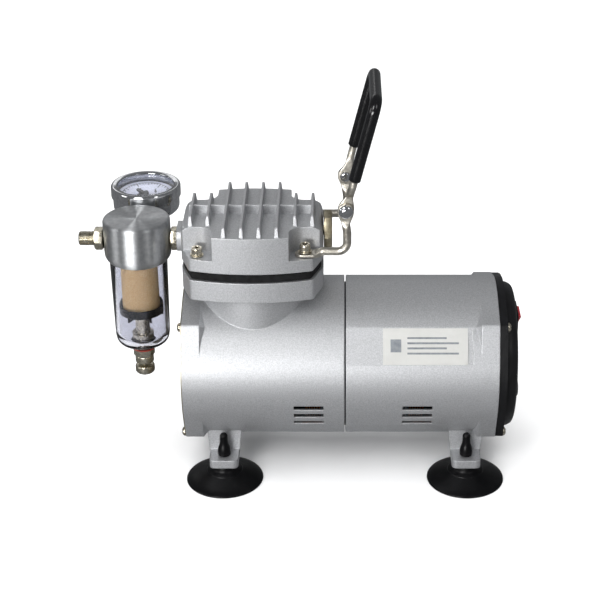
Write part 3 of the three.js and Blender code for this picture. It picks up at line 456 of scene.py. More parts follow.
def turned_aluminium(name, centre):
    # Clear-anodised aluminium turned on a lathe: satin, with fine rings round its axis that draw its
    # highlights
    # out along the axis.
    ring_gap = 0.55 * MM
    material, tree, shader = surface(
        name, Metallic=1.0, Roughness=0.47, Anisotropic=0.93, Anisotropic_Rotation=0.25
    )
    moved_to = node(tree, "ShaderNodeMapping", Vector=places(tree))
    moved_to.inputs["Location"].default_value = [-c * MM for c in centre]
    wave = node(
        tree, "ShaderNodeTexWave", {"wave_type": "RINGS", "rings_direction": "Z"},
        Vector=moved_to.outputs["Vector"], Scale=1 / ring_gap / 2, Distortion=1.5, Detail=2.0,
    )
    along = node(
        tree, "ShaderNodeVectorMath", {"operation": "CROSS_PRODUCT"},
        i0=(0.0, 0.0, 1.0), i1=moved_to.outputs["Vector"],
    )
    tree.links.new(along.outputs["Vector"], shader.inputs["Tangent"])
    tree.links.new(mixed(tree, grain(tree, 3), "#bdbfc1", "#d2d3d4"), shader.inputs["Base Color"])
    bumped(tree, shader, wave.outputs["Fac"], 0.1, 0.02)
    return material


def plated(name, dark, light, roughness=0.2):
    # Turned, drawn or cast metal, bare or plated: slightly uneven colour and gloss.
    material, tree, shader = surface(name, Metallic=1.0)
    tree.links.new(mixed(tree, grain(tree, 2.5), dark, light), shader.inputs["Base Color"])
    gloss = ranged(tree, grain(tree, 2.0), roughness * 0.8, roughness * 1.35)
    tree.links.new(gloss, shader.inputs["Roughness"])
    bumped(tree, shader, grain(tree, 1.2), 0.05, 0.02)
    return material


def moulded_black(name, colour, lighter, roughness, texture_mm=0.5, strength=0.15, shine=0.3):
    # Injection-moulded or dipped black polymer: a faint tool texture and an uneven sheen.
    material, tree, shader = surface(name, IOR=1.5, Specular_IOR_Level=shine)
    tree.links.new(mixed(tree, grain(tree, 6), colour, lighter), shader.inputs["Base Color"])
    tree.links.new(ranged(tree, grain(tree, 4), roughness * 0.85, roughness * 1.2),
                   shader.inputs["Roughness"])
    bumped(tree, shader, grain(tree, texture_mm), strength, 0.03)
    return material


def clear_polycarbonate():
    # Moulded clear polycarbonate with the cool tint that its thickness gives.
    material, tree, shader = surface(
        "polycarbonate_clear_moulded", Base_Color=linear("#cfd0d8"), Roughness=0.04, IOR=1.4,
        Transmission_Weight=1.0
    )
    bumped(tree, shader, grain(tree, 9), 0.05, 0.1)
    return material


def gauge_glass():
    # Flat window glass over the dial.
    material, tree, shader = surface(
        "window_glass_flat", Base_Color=linear("#f4f6fa"), Roughness=0.02, IOR=1.3, Transmission_Weight=1.0
    )
    bumped(tree, shader, grain(tree, 20), 0.03, 0.05)
    return material


def sintered_element():
    # Pressed and sintered filter medium: matt tan with open pores.
    material, tree, shader = surface("filter_medium_sintered", Roughness=0.9)
    pores = grain(tree, 0.8, 4.0)
    tree.links.new(mixed(tree, pores, "#e6b878", "#ffe0a8"), shader.inputs["Base Color"])
    bumped(tree, shader, pores, 0.5, 0.15)
    return material


def printed(name, colour, second):
    # Printed enamel or film: nearly even, with a slight mottle.
    material, tree, shader = surface(name, Roughness=0.42, IOR=1.5)
    tree.links.new(mixed(tree, grain(tree, 3), colour, second), shader.inputs["Base Color"])
    return material


def wound_copper():
    # Enamelled copper wire, laid side by side.
    material, tree, shader = surface("copper_wire_enamelled", Metallic=1.0, Roughness=0.35)
    wave = node(tree, "ShaderNodeTexWave", {"bands_direction": "X"}, Vector=places(tree),
                Scale=1 / (0.9 * MM) / 6)
    tree.links.new(mixed(tree, wave.outputs["Fac"], "#6e3416", "#c4763c"), shader.inputs["Base Color"])
    bumped(tree, shader, wave.outputs["Fac"], 0.5, 0.2)
    return material


def stacked_laminations():
    # Varnished electrical steel sheets stacked along the shaft.
    material, tree, shader = surface("electrical_steel_laminated", Metallic=0.9, Roughness=0.5)
    wave = node(tree, "ShaderNodeTexWave", {"bands_direction": "X"}, Vector=places(tree),
                Scale=1 / (1.0 * MM) / 6)
    tree.links.new(mixed(tree, wave.outputs["Fac"], "#3c3d40", "#6d6e72"), shader.inputs["Base Color"])
    return material


paint = silver_paint()
# The bare casting inside, its near-black colour painted shade.
raw_casting_painted_shade = shaded_cast_interior()
filter_metal = turned_aluminium("aluminium_turned_filter", (FILTER_X + SPLIT, 0, 0))
bare_metal = plated("aluminium_machined_bare", "#b4b6b8", "#d0d2d4", 0.32)
zinc = plated("steel_zinc_plated_drawn", "#b9b4a8", "#d2cdc3", 0.38)
screw_metal = plated("steel_nickel_plated_screws", "#c4bca8", "#ddd6c6", 0.26)
nickel = plated("brass_nickel_plated", "#bcb5a1", "#d6d0c0", 0.27)
old_brass = plated("brass_nickel_plated_cast", "#8f8670", "#aba28b", 0.36)
chrome = plated("steel_chrome_plated_polished", "#c2c3c5", "#d2d3d5", 0.1)
cover_metal = plated("steel_sheet_galvanised", "#aaa393", "#b9b2a3", 0.38)
black_abs = moulded_black("abs_black_moulded", "#09090a", "#0e0e10", 0.4, 0.5, 0.1, 0.28)
black_seal = moulded_black("gasket_fibre_pressed", "#070708", "#0d0d0e", 0.8, 0.7, 0.3)
black_rubber = moulded_black("rubber_black_moulded", "#030304", "#060607", 0.34, 2.0, 0.04, 0.18)
vinyl = moulded_black("vinyl_black_dipped", "#040405", "#08080a", 0.2, 5.0, 0.04, 0.5)
red_seal = moulded_black("rubber_red_moulded", "#7a2a22", "#8c3226", 0.5)
red_plastic = printed("abs_red_moulded", "#8c1622", "#a01c28")
clear = clear_polycarbonate()
glass = gauge_glass()
medium = sintered_element()
dial_white = printed("enamel_dial_printed", "#dfe0ee", "#e9eaf6")
dial_ink = printed("ink_black_printed", "#1c1c20", "#2a2a2e")
label_film = printed("polyester_label_film", "#dadad7", "#dcdcd9")
label_ink = printed("ink_grey_printed", "#8d9298", "#a2a7ac")
copper = wound_copper()
laminations = stacked_laminations()


# ---- Castings ----
def flange_outline(inset=0.0):
    """The end flange in (y, z) about the shaft: the casing's circle with four tangent screw corners."""
    rounding = 3
    radius, reach = CASING - inset, CORNER_REACH - inset - rounding
    spread = math.acos((radius - rounding) / reach)
    bearings = (CORNER_ANGLE, math.pi - CORNER_ANGLE, math.pi + CORNER_ANGLE, -CORNER_ANGLE)
    corners = sorted(math.pi / 2 - bearing for bearing in bearings)
    points = []
    for i, angle in enumerate(corners):
        y, z = reach * math.cos(angle), reach * math.sin(angle)
        points += arc(y, z, rounding, angle - spread, angle + spread, 8)
        following = corners[i + 1] if i < 3 else corners[0] + 2 * math.pi
        points += arc(0, 0, radius, angle + spread, following - spread, 16)[1:-1]
    return points


def pump_outline(inset=0.0):
    """The pump flange in (x, y): bowed front and back, long bevelled corners."""
    side, depth = HEAD_HALF_WIDTH - inset, HEAD_HALF_DEPTH - inset
    corner_x, corner_y, flat_end = 40 - inset, HEAD_HALF_DEPTH - 6 - inset, 16.5
    bow = depth - corner_y
    radius = (corner_x ** 2 + bow ** 2) / (2 * bow)
    half = math.asin(corner_x / radius)
    front = arc(0, depth - radius, radius, math.pi / 2 - half, math.pi / 2 + half, 20)
    ends = (front[0], front[-1])
    bowed = [(x, y, 1.6 if (x, y) in ends else 0) for x, y in front]
    bowed = [(side, flat_end, 2.5)] + bowed + [(-side, flat_end, 2.5)]
    opposite = [(-x, -y, rounding) for x, y, rounding in bowed]
    return loop(opposite[-1:] + bowed + opposite[:-1])


def screw_places():
    across, up = SCREW_CIRCLE * math.sin(CORNER_ANGLE), SCREW_CIRCLE * math.cos(CORNER_ANGLE)
    return [(side * across, SHAFT_Z + lift * up) for lift in (1, -1) for side in (-1, 1)]


def end_flange(face, inward):
    """The lobed end of a casing, with its inner side drafted down into the barrel."""
    flat, draft = FLANGE - 0.8, 4.6
    bm = slab(flange_outline(), face, face + inward * flat, "x")
    inner = max(bm.faces, key=lambda f: f.calc_center_median().x * inward)
    made = bmesh.ops.extrude_face_region(bm, geom=[inner])
    verts = [g for g in made["geom"] if isinstance(g, bmesh.types.BMVert)]
    bmesh.ops.translate(bm, verts=verts, vec=(inward * draft, 0, 0))
    bmesh.ops.scale(bm, verts=verts, vec=(1, 0.9, 0.9))
    bmesh.ops.delete(bm, geom=[inner], context="FACES_ONLY")
    bmesh.ops.recalc_face_normals(bm, faces=bm.faces)
    return moved(bm, z=SHAFT_Z)


def leg(x):
    """One leg with its foot tab, spreading slightly towards the casing."""
    half, face = 9.75, 37.1
    foot_y = abs(FEET[0].y)
    tip, root = -foot_y - 8.4, -face + 0.3
    front = softened([(-half, root), (-half, tip, 4), (half, tip, 4), (half, root)], 0)
    tab = slab(front, TAB_LOW, TAB_TOP)
    side = [(-face, TAB_LOW), (-face + 4, TAB_LOW), (-8, 19.2), (-8, 28), (-face + 0.6, 37)]
    post = slab(side, -half, half, "x")
    for vert in post.verts:
        vert.co.x *= 1 + max(0, vert.co.z - TAB_TOP) * 0.012
    hole = drum(3.5, TAB_LOW - 1, TAB_TOP + 1, (0, -foot_y, 0), "z", 32)
    return moved(cut(join(post, tab), hole), x=x)


# Rows of cooling slots, in degrees down from the top of the casing
SLOT_ROWS = ((102.2, 106.0), (110.0, 114.0), (118.6, 122.6))


def slot_cutters(start, end):
    """Cooling slots through the wall, the same on both sides."""
    made = []
    for low, high in SLOT_ROWS:
        half = math.radians(high - low) * CASING / 2
        for side in (-1, 1):
            # The wall is thinned behind each slot, so that the slot is open to the inside, whose near-black
            # colour is painted shade.
            through = brick((start, end), (-half, half), (CASING - 9, CASING + 4))
            relief = brick((start - 2, end + 2), (-half - 2.3, half + 2.3), (CASING - 9, CASING - 1.6))
            for cutter in (through, relief):
                made.append(moved(spun(cutter, side * (low + high) / 2, "X"), z=SHAFT_Z))
    return made


def casing(start, end, face, inward, leg_x):
    """The outside of one casting with its flange and legs, and the cutter for its bore."""
    outer = turned(
        [(0, start), (CASING, start, 0.6), (CASING, end, 0.6), (0, end)], ON_SHAFT, "x", 0, ROUND
    )
    front = leg(leg_x)
    back = mirrored(front.copy(), "y")
    bore = drum(CASING - WALL, start - 1, end + 1, ON_SHAFT, "x", 96)
    return join(outer, end_flange(face, inward), front, back), bore


def bare_inside_painted_shade(piece):
    """Leaves a casting's bore as it was cast, without paint, in a near-black colour that is painted shade.
    """
    piece.data.materials.append(raw_casting_painted_shade)
    for face in piece.data.polygons:
        y, z = face.center.y / MM, face.center.z / MM - SHAFT_Z
        if math.hypot(y, z) < CASING - WALL + 0.1 and abs(face.normal.x) < 0.9:
            face.material_index = 1
    return piece


def crankcase_housing():
    shell, bore = casing(FRONT_END, -0.4, FRONT_END, 1, -82)
    barrel = drum(38, SHAFT_Z + 20, LOWER_BASE + 1, ON_PUMP, "z", 96)
    flange = moved(slab(pump_outline(), LOWER_BASE, LOWER_TOP), x=PUMP_X)
    cylinder = drum(26.8, 80, 150, ON_PUMP, "z", 64)
    made = cut(join(shell, barrel, flange), bore, cylinder, *slot_cutters(-34.2, -14.4))
    weighted(bare_inside_painted_shade(finish(made, "crankcase_casting", "body", ["crankcase_housing"], paint,
                                EDGE_BREAK)))


def motor_housing():
    shell, bore = casing(0.4, REAR_END, REAR_END, -1, 82)
    # The flat that the label sits on runs the length of the casting.
    flat = brick((-1, 84), (-14, 14), (52.6, 60))
    flat = moved(spun(flat, 57, "X"), z=SHAFT_Z)
    made = cut(shell, bore, flat, *slot_cutters(38.1, 57.9))
    weighted(bare_inside_painted_shade(finish(made, "motor_casting", "body", ["motor_housing"], paint,
                                EDGE_BREAK)))


def bulkheads():
    """The webs inside the casings that hold the bearings."""
    made = []
    for x in (-39, 68):
        made.append(
            turned(
                [(11.3, x - 5), (16, x - 5, 1), (16, x - 2, 1), (49.9, x - 2), (49.9, x + 2),
                 (16, x + 2, 1), (16, x + 5, 1), (11.3, x + 5)],
                ON_SHAFT, "x", 0, 64, closed=True,
            )
        )
    finish(heap(*made), "bearing_webs", "body", [], raw_casting_painted_shade)


def front_cover():
    low, high = cad("front_cover")[0].x, cad("front_cover")[1].x
    plate = moved(slab(flange_outline(0.4), low, high, "x"), z=SHAFT_Z)
    slots = [moved(spun(brick((low - 1, high + 1), (-1.7, 1.7), (18, 40)), 45 * i, "X"), z=SHAFT_Z)
             for i in range(8)]
    weighted(finish(cut(plate, *slots), "front_cover_plate", "body", ["front_cover"], cover_metal,
                    0.5))


def pan_screw(name, x, y, z, outward):
    """A cross-recessed pan-head screw, its head standing on a face at x."""
    head = turned([(0, -2.2), (1.9, -2.15, 1), (3.1, -0.9, 1), (3.1, 0), (1.5, 0.2), (1.5, 9), (0, 9)],
                  (0, 0, 0), "x", 0.2, 40)
    cross = join(brick((-3, -1.0), (-2, 2), (-0.35, 0.35)), brick((-3, -1.0), (-0.35, 0.35), (-2, 2)))
    # Each screw stops at an angle of its own.
    made = spun(cut(head, cross), 20 * y % 90, "X")
    if outward > 0:
        made = mirrored(made, "x")
    finish(moved(made, x, y, z), name + "_piece", "body", [name], screw_metal)


def rear_cap():
    start = cad("rear_cap")[0].x
    end = cad("rear_cap")[1].x
    flange = moved(slab(flange_outline(0.4), start, start + 5, "x"), z=SHAFT_Z)
    dome = turned(
        [(0, start), (50, start), (49.6, end - 5.2, 2.5), (47.6, end - 1.8, 2), (45, end - 0.7, 1.5),
         (38, end, 3), (0, end)],
        ON_SHAFT, "x", 0.5, ROUND,
    )
    hollow = turned([(0, start - 1), (46.8, start - 1), (46.8, end - 6, 3), (43, end - 3.2, 3),
                     (0, end - 2.6)], ON_SHAFT, "x", 0, 96)
    low, high = cad("switch_frame")
    window = brick((end - 5, end + 2), (low.y + 0.8, high.y - 0.8), (low.z + 0.7, high.z - 0.7))
    gland = cad("cable_gland")
    gland_z = (gland[0].z + gland[1].z) / 2
    gland_hole = drum(6.3, end - 5, end + 2, (0, 0, gland_z), "x", 48)
    slots = [
        brick((end - 6, end + 2), (side * 14 - 9, side * 14 + 9),
              (SHAFT_Z + row * 7 - 1.75, SHAFT_Z + row * 7 + 1.75))
        for row in (-1, 0, 1) for side in (-1, 1)
    ]
    made = cut(join(flange, dome), hollow, window, gland_hole, *slots)
    weighted(finish(made, "rear_cap_moulding", "body", ["rear_cap"], black_abs, 0.35))


def switch():
    low, high = cad("switch_frame")
    mid_z = (low.z + high.z) / 2
    face = cad("rear_cap")[1].x
    half_y, half_z = high.y, (high.z - low.z) / 2
    rim = softened([(-half_y, -half_z), (half_y, -half_z), (half_y, half_z), (-half_y, half_z)], 1.6,
                   closed=True)
    body = brick((face - 9, face + 0.6), (-9.5, 9.5), (-6.6, 6.6))
    frame_shape = cut(join(slab(rim, face + 0.3, face + 1.8, "x"), body),
                      brick((face - 7, face + 3), (-8.4, 8.4), (-6, 6)))
    finish(moved(frame_shape, z=mid_z), "switch_bezel", "body", ["switch_frame"], black_abs,
           0.3)
    side = loop([(-2.5, -4.6, 0.6), (1.4, -4.6, 0.8), (1.9, 0, 3), (4.1, 4.4, 0.8), (-2.5, 4.6, 0.6)])
    rocker = moved(slab(side, -7.9, 7.9, "y"), x=face, z=mid_z)
    finish(rocker, "switch_rocker_key", "rocker", ["switch_rocker"], red_plastic, 0.35)


def cable_gland():
    low, high = cad("cable_gland")
    mid_z, face = (low.z + high.z) / 2, cad("rear_cap")[1].x
    made = turned(
        [(3.4, low.x), (6, low.x), (6, face + 0.3), (7.6, face + 0.3), (7.6, face + 2, 0.6),
         (5.8, high.x, 1), (3.4, high.x, 0.6)],
        (0, 0, mid_z), "x", 0.2, 64, closed=True,
    )
    finish(made, "cord_grommet", "body", ["cable_gland"], black_rubber)


# ---- Pump head ----
def head_pocket(side, front):
    x, y, rounding = 24.7, 22.2, 9.0
    outline = arc(x + rounding, y + rounding, rounding, math.pi, 1.5 * math.pi, 10)
    outline += [(60, y), (60, 60), (x, 60)]
    pocket = slab(outline, HEAD_LEDGE, FIN_TOP + 5)
    if side < 0:
        pocket = mirrored(pocket, "x")
    return mirrored(pocket, "y") if front < 0 else pocket


def head_fin(index):
    """A cooling fin: a tapered blade with sloping ends and a rounded top."""
    x = (index - 3.5) * FIN_PITCH
    half = HEAD_HALF_DEPTH - 1.6 if abs(index - 3.5) < 2 else 21.4
    outline = [(-half, HEAD_FLOOR - 2), (half, HEAD_FLOOR - 2), (half, HEAD_FLOOR),
               (half - 2.2, FIN_TOP, 1.6), (-half + 2.2, FIN_TOP, 1.6), (-half, HEAD_FLOOR)]
    blade = slab(loop(outline), -1.45, 1.45, "x")
    for vert in blade.verts:
        vert.co.x *= 1 - 0.45 * max(0, vert.co.z - HEAD_FLOOR) / (FIN_TOP - HEAD_FLOOR)
    return moved(blade, x=x)


def cylinder_head():
    blank = slab(pump_outline(), HEAD_LOW, HEAD_FLOOR)
    crown = [(-60, 100), (60, 100), (HEAD_HALF_WIDTH, 168, 0), (HEAD_HALF_WIDTH - 0.4, HEAD_FLOOR - 3.5, 5),
             (HEAD_HALF_WIDTH - 5.5, HEAD_FLOOR, 3)]
    crown += [(-x, z, rounding) for x, z, rounding in reversed(crown[2:])]
    blank = combined(blank, [slab(loop(crown), -60, 60, "y")], "INTERSECT")
    pockets = [head_pocket(side, front) for side in (-1, 1) for front in (-1, 1)]
    fins = [head_fin(i) for i in range(8)]
    cross = slab([(-1.1, HEAD_FLOOR - 2), (1.1, HEAD_FLOOR - 2), (0.75, FIN_TOP - 0.7),
                  (-0.75, FIN_TOP - 0.7)], -41.5, 41.5, "x")
    boss = [(-10.5, HEAD_LOW + 0.6), (10.5, HEAD_LOW + 0.6), (10.5, 170), (-10.5, 170)]
    boss = slab(softened(boss, 6, closed=True), -50, -30, "x")
    made = join(cut(blank, *pockets), *fins, cross, boss)
    made = cut(made, drum(3.6, -52, -40, ON_PORT, "x", 32))
    weighted(finish(moved(made, x=PUMP_X), "finned_cylinder_head", "body", ["cylinder_head"], paint,
                    0.4, 28))


def valve_plate():
    low, high = PLATE_Z
    sheet = slab(pump_outline(1.3), low, high)
    weighted(finish(moved(sheet, x=PUMP_X), "valve_plate_and_gasket", "body", ["valve_plate"], black_seal,
                    0.35, 25))


def head_bolt(index):
    """A socket cap screw with spring washer and plain washer."""
    low, high = cad(f"head_bolt_{index}")
    x, y, top = (low.x + high.x) / 2, (low.y + high.y) / 2, high.z
    seat = top - 5.8
    head = turned([(0, seat + 0.5), (3.35, seat + 0.5, 0.2), (3.5, seat + 1.3), (3.5, top - 0.9, 0.6),
                   (3.0, top, 0.3), (0, top)], (x, y, 0), steps=48)
    socket = moved(slab(hexagon(3.2), top - 3, top + 1), x, y)
    dish = turned([(0, top - 0.5), (1.75, top - 0.5), (2.3, top + 0.2), (0, top + 0.2)], (x, y, 0),
                  radius=0, steps=48)
    washer = turned([(1.9, seat), (4.4, seat, 0.2), (4.4, seat + 0.9, 0.2), (1.9, seat + 0.9)], (x, y, 0),
                    radius=0.1, closed=True)
    spring = turned([(1.9, seat + 0.9), (3.7, seat + 0.9, 0.2), (3.7, seat + 1.9, 0.2), (1.9, seat + 1.9)],
                    (x, y, 0), radius=0.1, closed=True)
    shank = turned([(0, low.z), (1.95, low.z, 0.4), (1.95, seat + 0.6), (0, seat + 0.6)], (x, y, 0))
    made = heap(cut(head, socket, dish), washer, spring, shank)
    finish(made, f"head_bolt_{index}_piece", "body", [f"head_bolt_{index}"], screw_metal)


def exhaust_silencer():
    low, high = cad("exhaust_muffler")
    face = low.x + 8
    nut = hex_nut(23, face + 0.1, high.x, "x", (0, 0, OUTLET_Z), math.pi / 6, 0.8)
    recess = turned([(0, high.x - 1.4), (8.6, high.x - 1.4, 0.5), (8.9, high.x + 1), (0, high.x + 1)],
                    (0, 0, OUTLET_Z), "x", 0)
    stub = turned([(0, low.x), (3.2, low.x), (3.2, face + 1), (0, face + 1)], (0, 0, OUTLET_Z), "x")
    finish(join(cut(nut, recess), stub), "exhaust_silencer", "body", ["exhaust_muffler"], old_brass,
           0.3)


# ---- Filter ----
def filter_head():
    low, high = FILTER_Z
    shape = turned(
        [(17, low + 4), (19.4, low + 4), (19.4, low, 0.4), (FILTER_R - 2.6, low, 1),
         (FILTER_R - 0.5, low + 2.6, 2.4), (FILTER_R, low + 6, 2), (FILTER_R, high - 1.3, 1.2),
         (FILTER_R - 1.3, high, 1), (0, high), (0, high - 10), (17, high - 10)],
        ON_FILTER, "z", 0.3, ROUND, closed=False,
    )
    bmesh.ops.holes_fill(shape, edges=shape.edges)
    finish(shape, "filter_head_turned", "body", ["filter_head"], filter_metal)


def filter_bowl():
    low, high = cad("filter_bowl")
    floor = low.z
    wall = turned(
        [(6.2, floor), (13.5, floor, 3), (17.6, floor + 3.2, 3), (18.4, floor + 8, 2), (19.3, high.z, 0.3),
         (17.1, high.z, 0.3), (16.2, floor + 8, 3), (13, floor + 3.2, 2), (6.2, floor + 3.2)],
        ON_FILTER, "z", 0.3, ROUND, closed=True,
    )
    finish(wall, "filter_bowl_clear", "body", ["filter_bowl"], clear)


def filter_insides():
    low, high = cad("filter_element")
    element = turned([(7.5, low.z), (12.9, low.z, 0.5), (12.9, high.z), (7.5, high.z)], ON_FILTER, "z", 0.2,
                     96, closed=True)
    finish(element, "filter_element_tube", "body", ["filter_element"], medium)
    low, high = cad("filter_baffle")
    baffle = turned(
        [(2.3, low.z), (14.6, low.z, 0.6), (15.3, low.z + 1, 0.5), (15.3, high.z, 0.4), (14.1, high.z, 0.4),
         (14.1, low.z + 3.1), (2.3, low.z + 3.1)],
        ON_FILTER, "z", 0.2, 96, closed=True,
    )
    vanes = [spun(brick((5, 14.8), (-0.5, 0.5), (low.z - 3, low.z + 0.6)), 60 * i, "Z") for i in range(6)]
    baffle = join(baffle, *[moved(vane, x=FILTER_X) for vane in vanes])
    finish(baffle, "filter_baffle_disc", "body", ["filter_baffle"], black_abs, 0.15)
    low, high = cad("filter_stem")
    stem = turned([(0, low.z), (3.6, low.z), (3.6, low.z + 3), (2, low.z + 3.2), (2, high.z), (0, high.z)],
                  ON_FILTER, steps=32)
    finish(stem, "filter_stem_rod", "body", ["filter_stem"], zinc)


def drain():
    low, high = cad("drain_body")
    base = low.z
    hexed = hex_nut(12.6, base + 5, 78.4, "z", ON_FILTER, 0.2, 0.5)
    barrel = turned([(0, base), (6.3, base, 0.4), (6.3, base + 4.6, 0.4), (5.6, base + 5.2),
                     (0, base + 5.4)], ON_FILTER)
    neck = turned([(0, 78), (5.7, 78), (5.7, 87), (7.4, 87, 0.3), (7.4, 90, 0.3), (4.9, 90),
                   (4.9, high.z, 0.4), (0, high.z)], ON_FILTER)
    bore = drum(1.9, base - 1, high.z + 1, ON_FILTER, "z", 32)
    finish(cut(join(hexed, barrel, neck), bore), "drain_valve_body", "body", ["drain_body"], nickel,
           0.15)
    low, high = cad("drain_seal")
    ring = turned([(6, low.z), (7.6, low.z, 0.5), (9, low.z + 1.6, 0.6), (9, high.z, 0.5), (6, high.z)],
                  ON_FILTER, "z", 0.2, closed=True)
    finish(ring, "drain_seal_ring", "body", ["drain_seal"], black_rubber)
    washer = turned([(6.5, 78.0), (7.9, 78.0, 0.3), (8.1, 79.2, 0.3), (6.5, 78.9)], ON_FILTER, "z", 0.1,
                    closed=True)
    finish(washer, "drain_red_washer", "body", [], red_seal)


def drain_knob():
    low, high = cad("drain_knob")
    knob = turned(
        [(0, low.z), (5.4, low.z, 0.5), (6.6, low.z + 1.2, 0.4), (6.6, low.z + 5.4, 0.4), (5.2, low.z + 6),
         (1.5, low.z + 6), (1.5, high.z), (0, high.z)],
        ON_FILTER, steps=96,
    )
    # Straight knurling, cut as fine grooves round the grip.
    for vert in knob.verts:
        arm = Vector((vert.co.x - FILTER_X, vert.co.y))
        if arm.length > 6.3 and round(math.degrees(math.atan2(arm.y, arm.x)) / 3.75) % 2:
            vert.co.x -= arm.x * 0.035
            vert.co.y -= arm.y * 0.035
    finish(knob, "drain_knob_knurled", "drain", ["drain_knob"], nickel)


def hose_nipple():
    low = cad("hose_nipple")[0]
    hex_end = low.x + 10.4
    nut = hex_nut(13.5, hex_end, FILTER_X - FILTER_R - 0.1, "x", ON_PORT, math.pi / 6)
    threads = []
    for k in range(11):
        start = low.x + 1 + 0.85 * k
        threads += [(4.85, start, 0.1), (4.45, start + 0.42, 0.1)]
    spigot = turned([(0, low.x), (3.9, low.x, 0.2)] + threads
                    + [(4.2, hex_end), (4.2, hex_end + 0.6), (0, hex_end + 0.6)], ON_PORT, "x", 0.1)
    bore = turned([(0, low.x - 1), (2.6, low.x - 1), (1.9, low.x + 0.8), (1.9, low.x + 16),
                   (0, low.x + 16)], ON_PORT, "x", 0)
    finish(cut(join(nut, spigot), bore), "intake_fitting", "body", ["hose_nipple"], nickel,
           0.12)


def joining_nipple():
    low, high = cad("joining_nipple")
    start, end = FILTER_X + FILTER_R + 0.1, PUMP_X - 50 - 0.2
    nut = hex_nut(13.8, start, end, "x", ON_PORT, math.pi / 6, 0.8)
    stub = turned([(0, low.x), (3.2, low.x), (3.2, high.x), (0, high.x)], ON_PORT, "x")
    finish(join(nut, stub), "joining_fitting", "body", ["joining_nipple"], nickel, 0.2)


# ---- Gauge ----
def gauge_elbow():
    port_z = 154.6
    start = FILTER_R - 0.9
    nut = hex_nut(10.2, start + 1.8, start + 7.6, "y", (FILTER_X, 0, port_z), 0, 0.6)
    arm = turned([(0, start - 5), (3.1, start - 5), (3.1, start + 1), (4.4, start + 6),
                  (4.4, GAUGE_Y + 4.4, 1.5), (0, GAUGE_Y + 4.4)], (FILTER_X, 0, port_z), "y")
    riser = turned([(0, port_z - 3), (4.4, port_z - 3, 1), (4.4, 160.1), (0, 160.1)], ON_GAUGE)
    finish(join(nut, arm, riser), "gauge_elbow_fitting", "body", ["gauge_elbow"], nickel,
           0.2)


def gauge_shell():
    base = cad("gauge_case")[0].z
    inner = GAUGE_R - 2
    case = turned(
        [(0, base), (GAUGE_R - 4, base, 1), (GAUGE_R - 1.2, base + 2.6, 3), (GAUGE_R - 1.1, 176.2),
         (inner, 176.2), (inner, base + 3.2, 1), (0, base + 3.2)],
        ON_GAUGE, "z", 0.2, ROUND,
    )
    finish(case, "gauge_case_drawn", "body", ["gauge_case"], chrome)
    ring = turned(
        [(GAUGE_R - 0.9, 171.6, 0.2), (GAUGE_R - 0.1, 171.6, 0.3), (GAUGE_R, 172.4, 0.3),
         (GAUGE_R, GAUGE_TOP - 1.2, 1.2), (GAUGE_R - 1.2, GAUGE_TOP, 0.9),
         (19.2, GAUGE_TOP - 0.6, 0.4), (19.2, 178.3), (GAUGE_R - 0.9, 178.3)],
        ON_GAUGE, "z", 0.2, ROUND, closed=True,
    )
    finish(ring, "gauge_bezel_ring", "body", ["gauge_bezel"], chrome)
    low, high = cad("gauge_lens")
    lens = turned([(0, low.z), (20.1, low.z, 0.2), (20.1, high.z, 0.2), (0, high.z)], ON_GAUGE, "z", 0.2,
                  96)
    finish(lens, "gauge_window", "body", ["gauge_lens"], glass)


def gauge_face():
    low, high = cad("gauge_dial")
    dial = turned([(1.5, low.z), (20.2, low.z), (20.2, high.z), (1.5, high.z)], ON_GAUGE, "z", 0, 96,
                  closed=True)
    finish(dial, "gauge_dial_plate", "body", ["gauge_dial"], dial_white)
    ink = []
    top = high.z
    first, sweep, count = 225, 270, 40
    for i in range(count + 1):
        angle = first - sweep * i / count
        inner = 13.6 if i % 8 == 0 else 15.0 if i % 4 == 0 else 16.0
        width = 0.26 if i % 8 == 0 else 0.14
        tick = brick((inner, 17.4), (-width, width), (top + 0.02, top + 0.07))
        ink.append(moved(spun(tick, angle, "Z"), GAUGE_X, GAUGE_Y))
    band = turned([(17.4, top + 0.02), (17.7, top + 0.02), (17.7, top + 0.07), (17.4, top + 0.07)],
                  ON_GAUGE, "z", 0, 96, closed=True)
    ink.append(band)
    for i in range(6):
        angle = math.radians(first - sweep * i / 5)
        ink.append(numeral(str(2 * i), GAUGE_X + 10.9 * math.cos(angle), GAUGE_Y + 10.9 * math.sin(angle),
                           top + 0.04, 3.6))
    finish(heap(*ink), "gauge_dial_print", "body", [], dial_ink)


def numeral(text, x, y, z, size):
    """A number as a thin mesh lying on the dial, in millimetres."""
    curve = bpy.data.curves.new("numeral", "FONT")
    curve.body = text
    curve.size = size
    curve.extrude = 0.02
    curve.align_x = "CENTER"
    curve.align_y = "CENTER"
    made = bpy.data.objects.new("numeral", curve)
    bpy.context.scene.collection.objects.link(made)
    bpy.context.view_layer.update()
    bm = bmesh.new()
    bm.from_mesh(made.to_mesh())
    made.to_mesh_clear()
    bpy.data.objects.remove(made)
    return moved(bm, x, y, z)


def gauge_needle():
    low, high = cad("gauge_needle")
    blade = slab(loop([(-8, -1, 0.4), (15.5, -0.28, 0.1), (15.5, 0.28, 0.1), (-8, 1, 0.4)]), 173, 173.6)
    hub = turned([(0, low.z), (0.8, low.z), (0.8, 172.8), (1.9, 172.8), (1.9, 174, 0.5), (0, high.z)],
                 steps=48)
    made = moved(spun(join(blade, hub), -38, "Z"), GAUGE_X, GAUGE_Y)
    finish(made, "gauge_pointer", "needle", ["gauge_needle"], dial_ink)


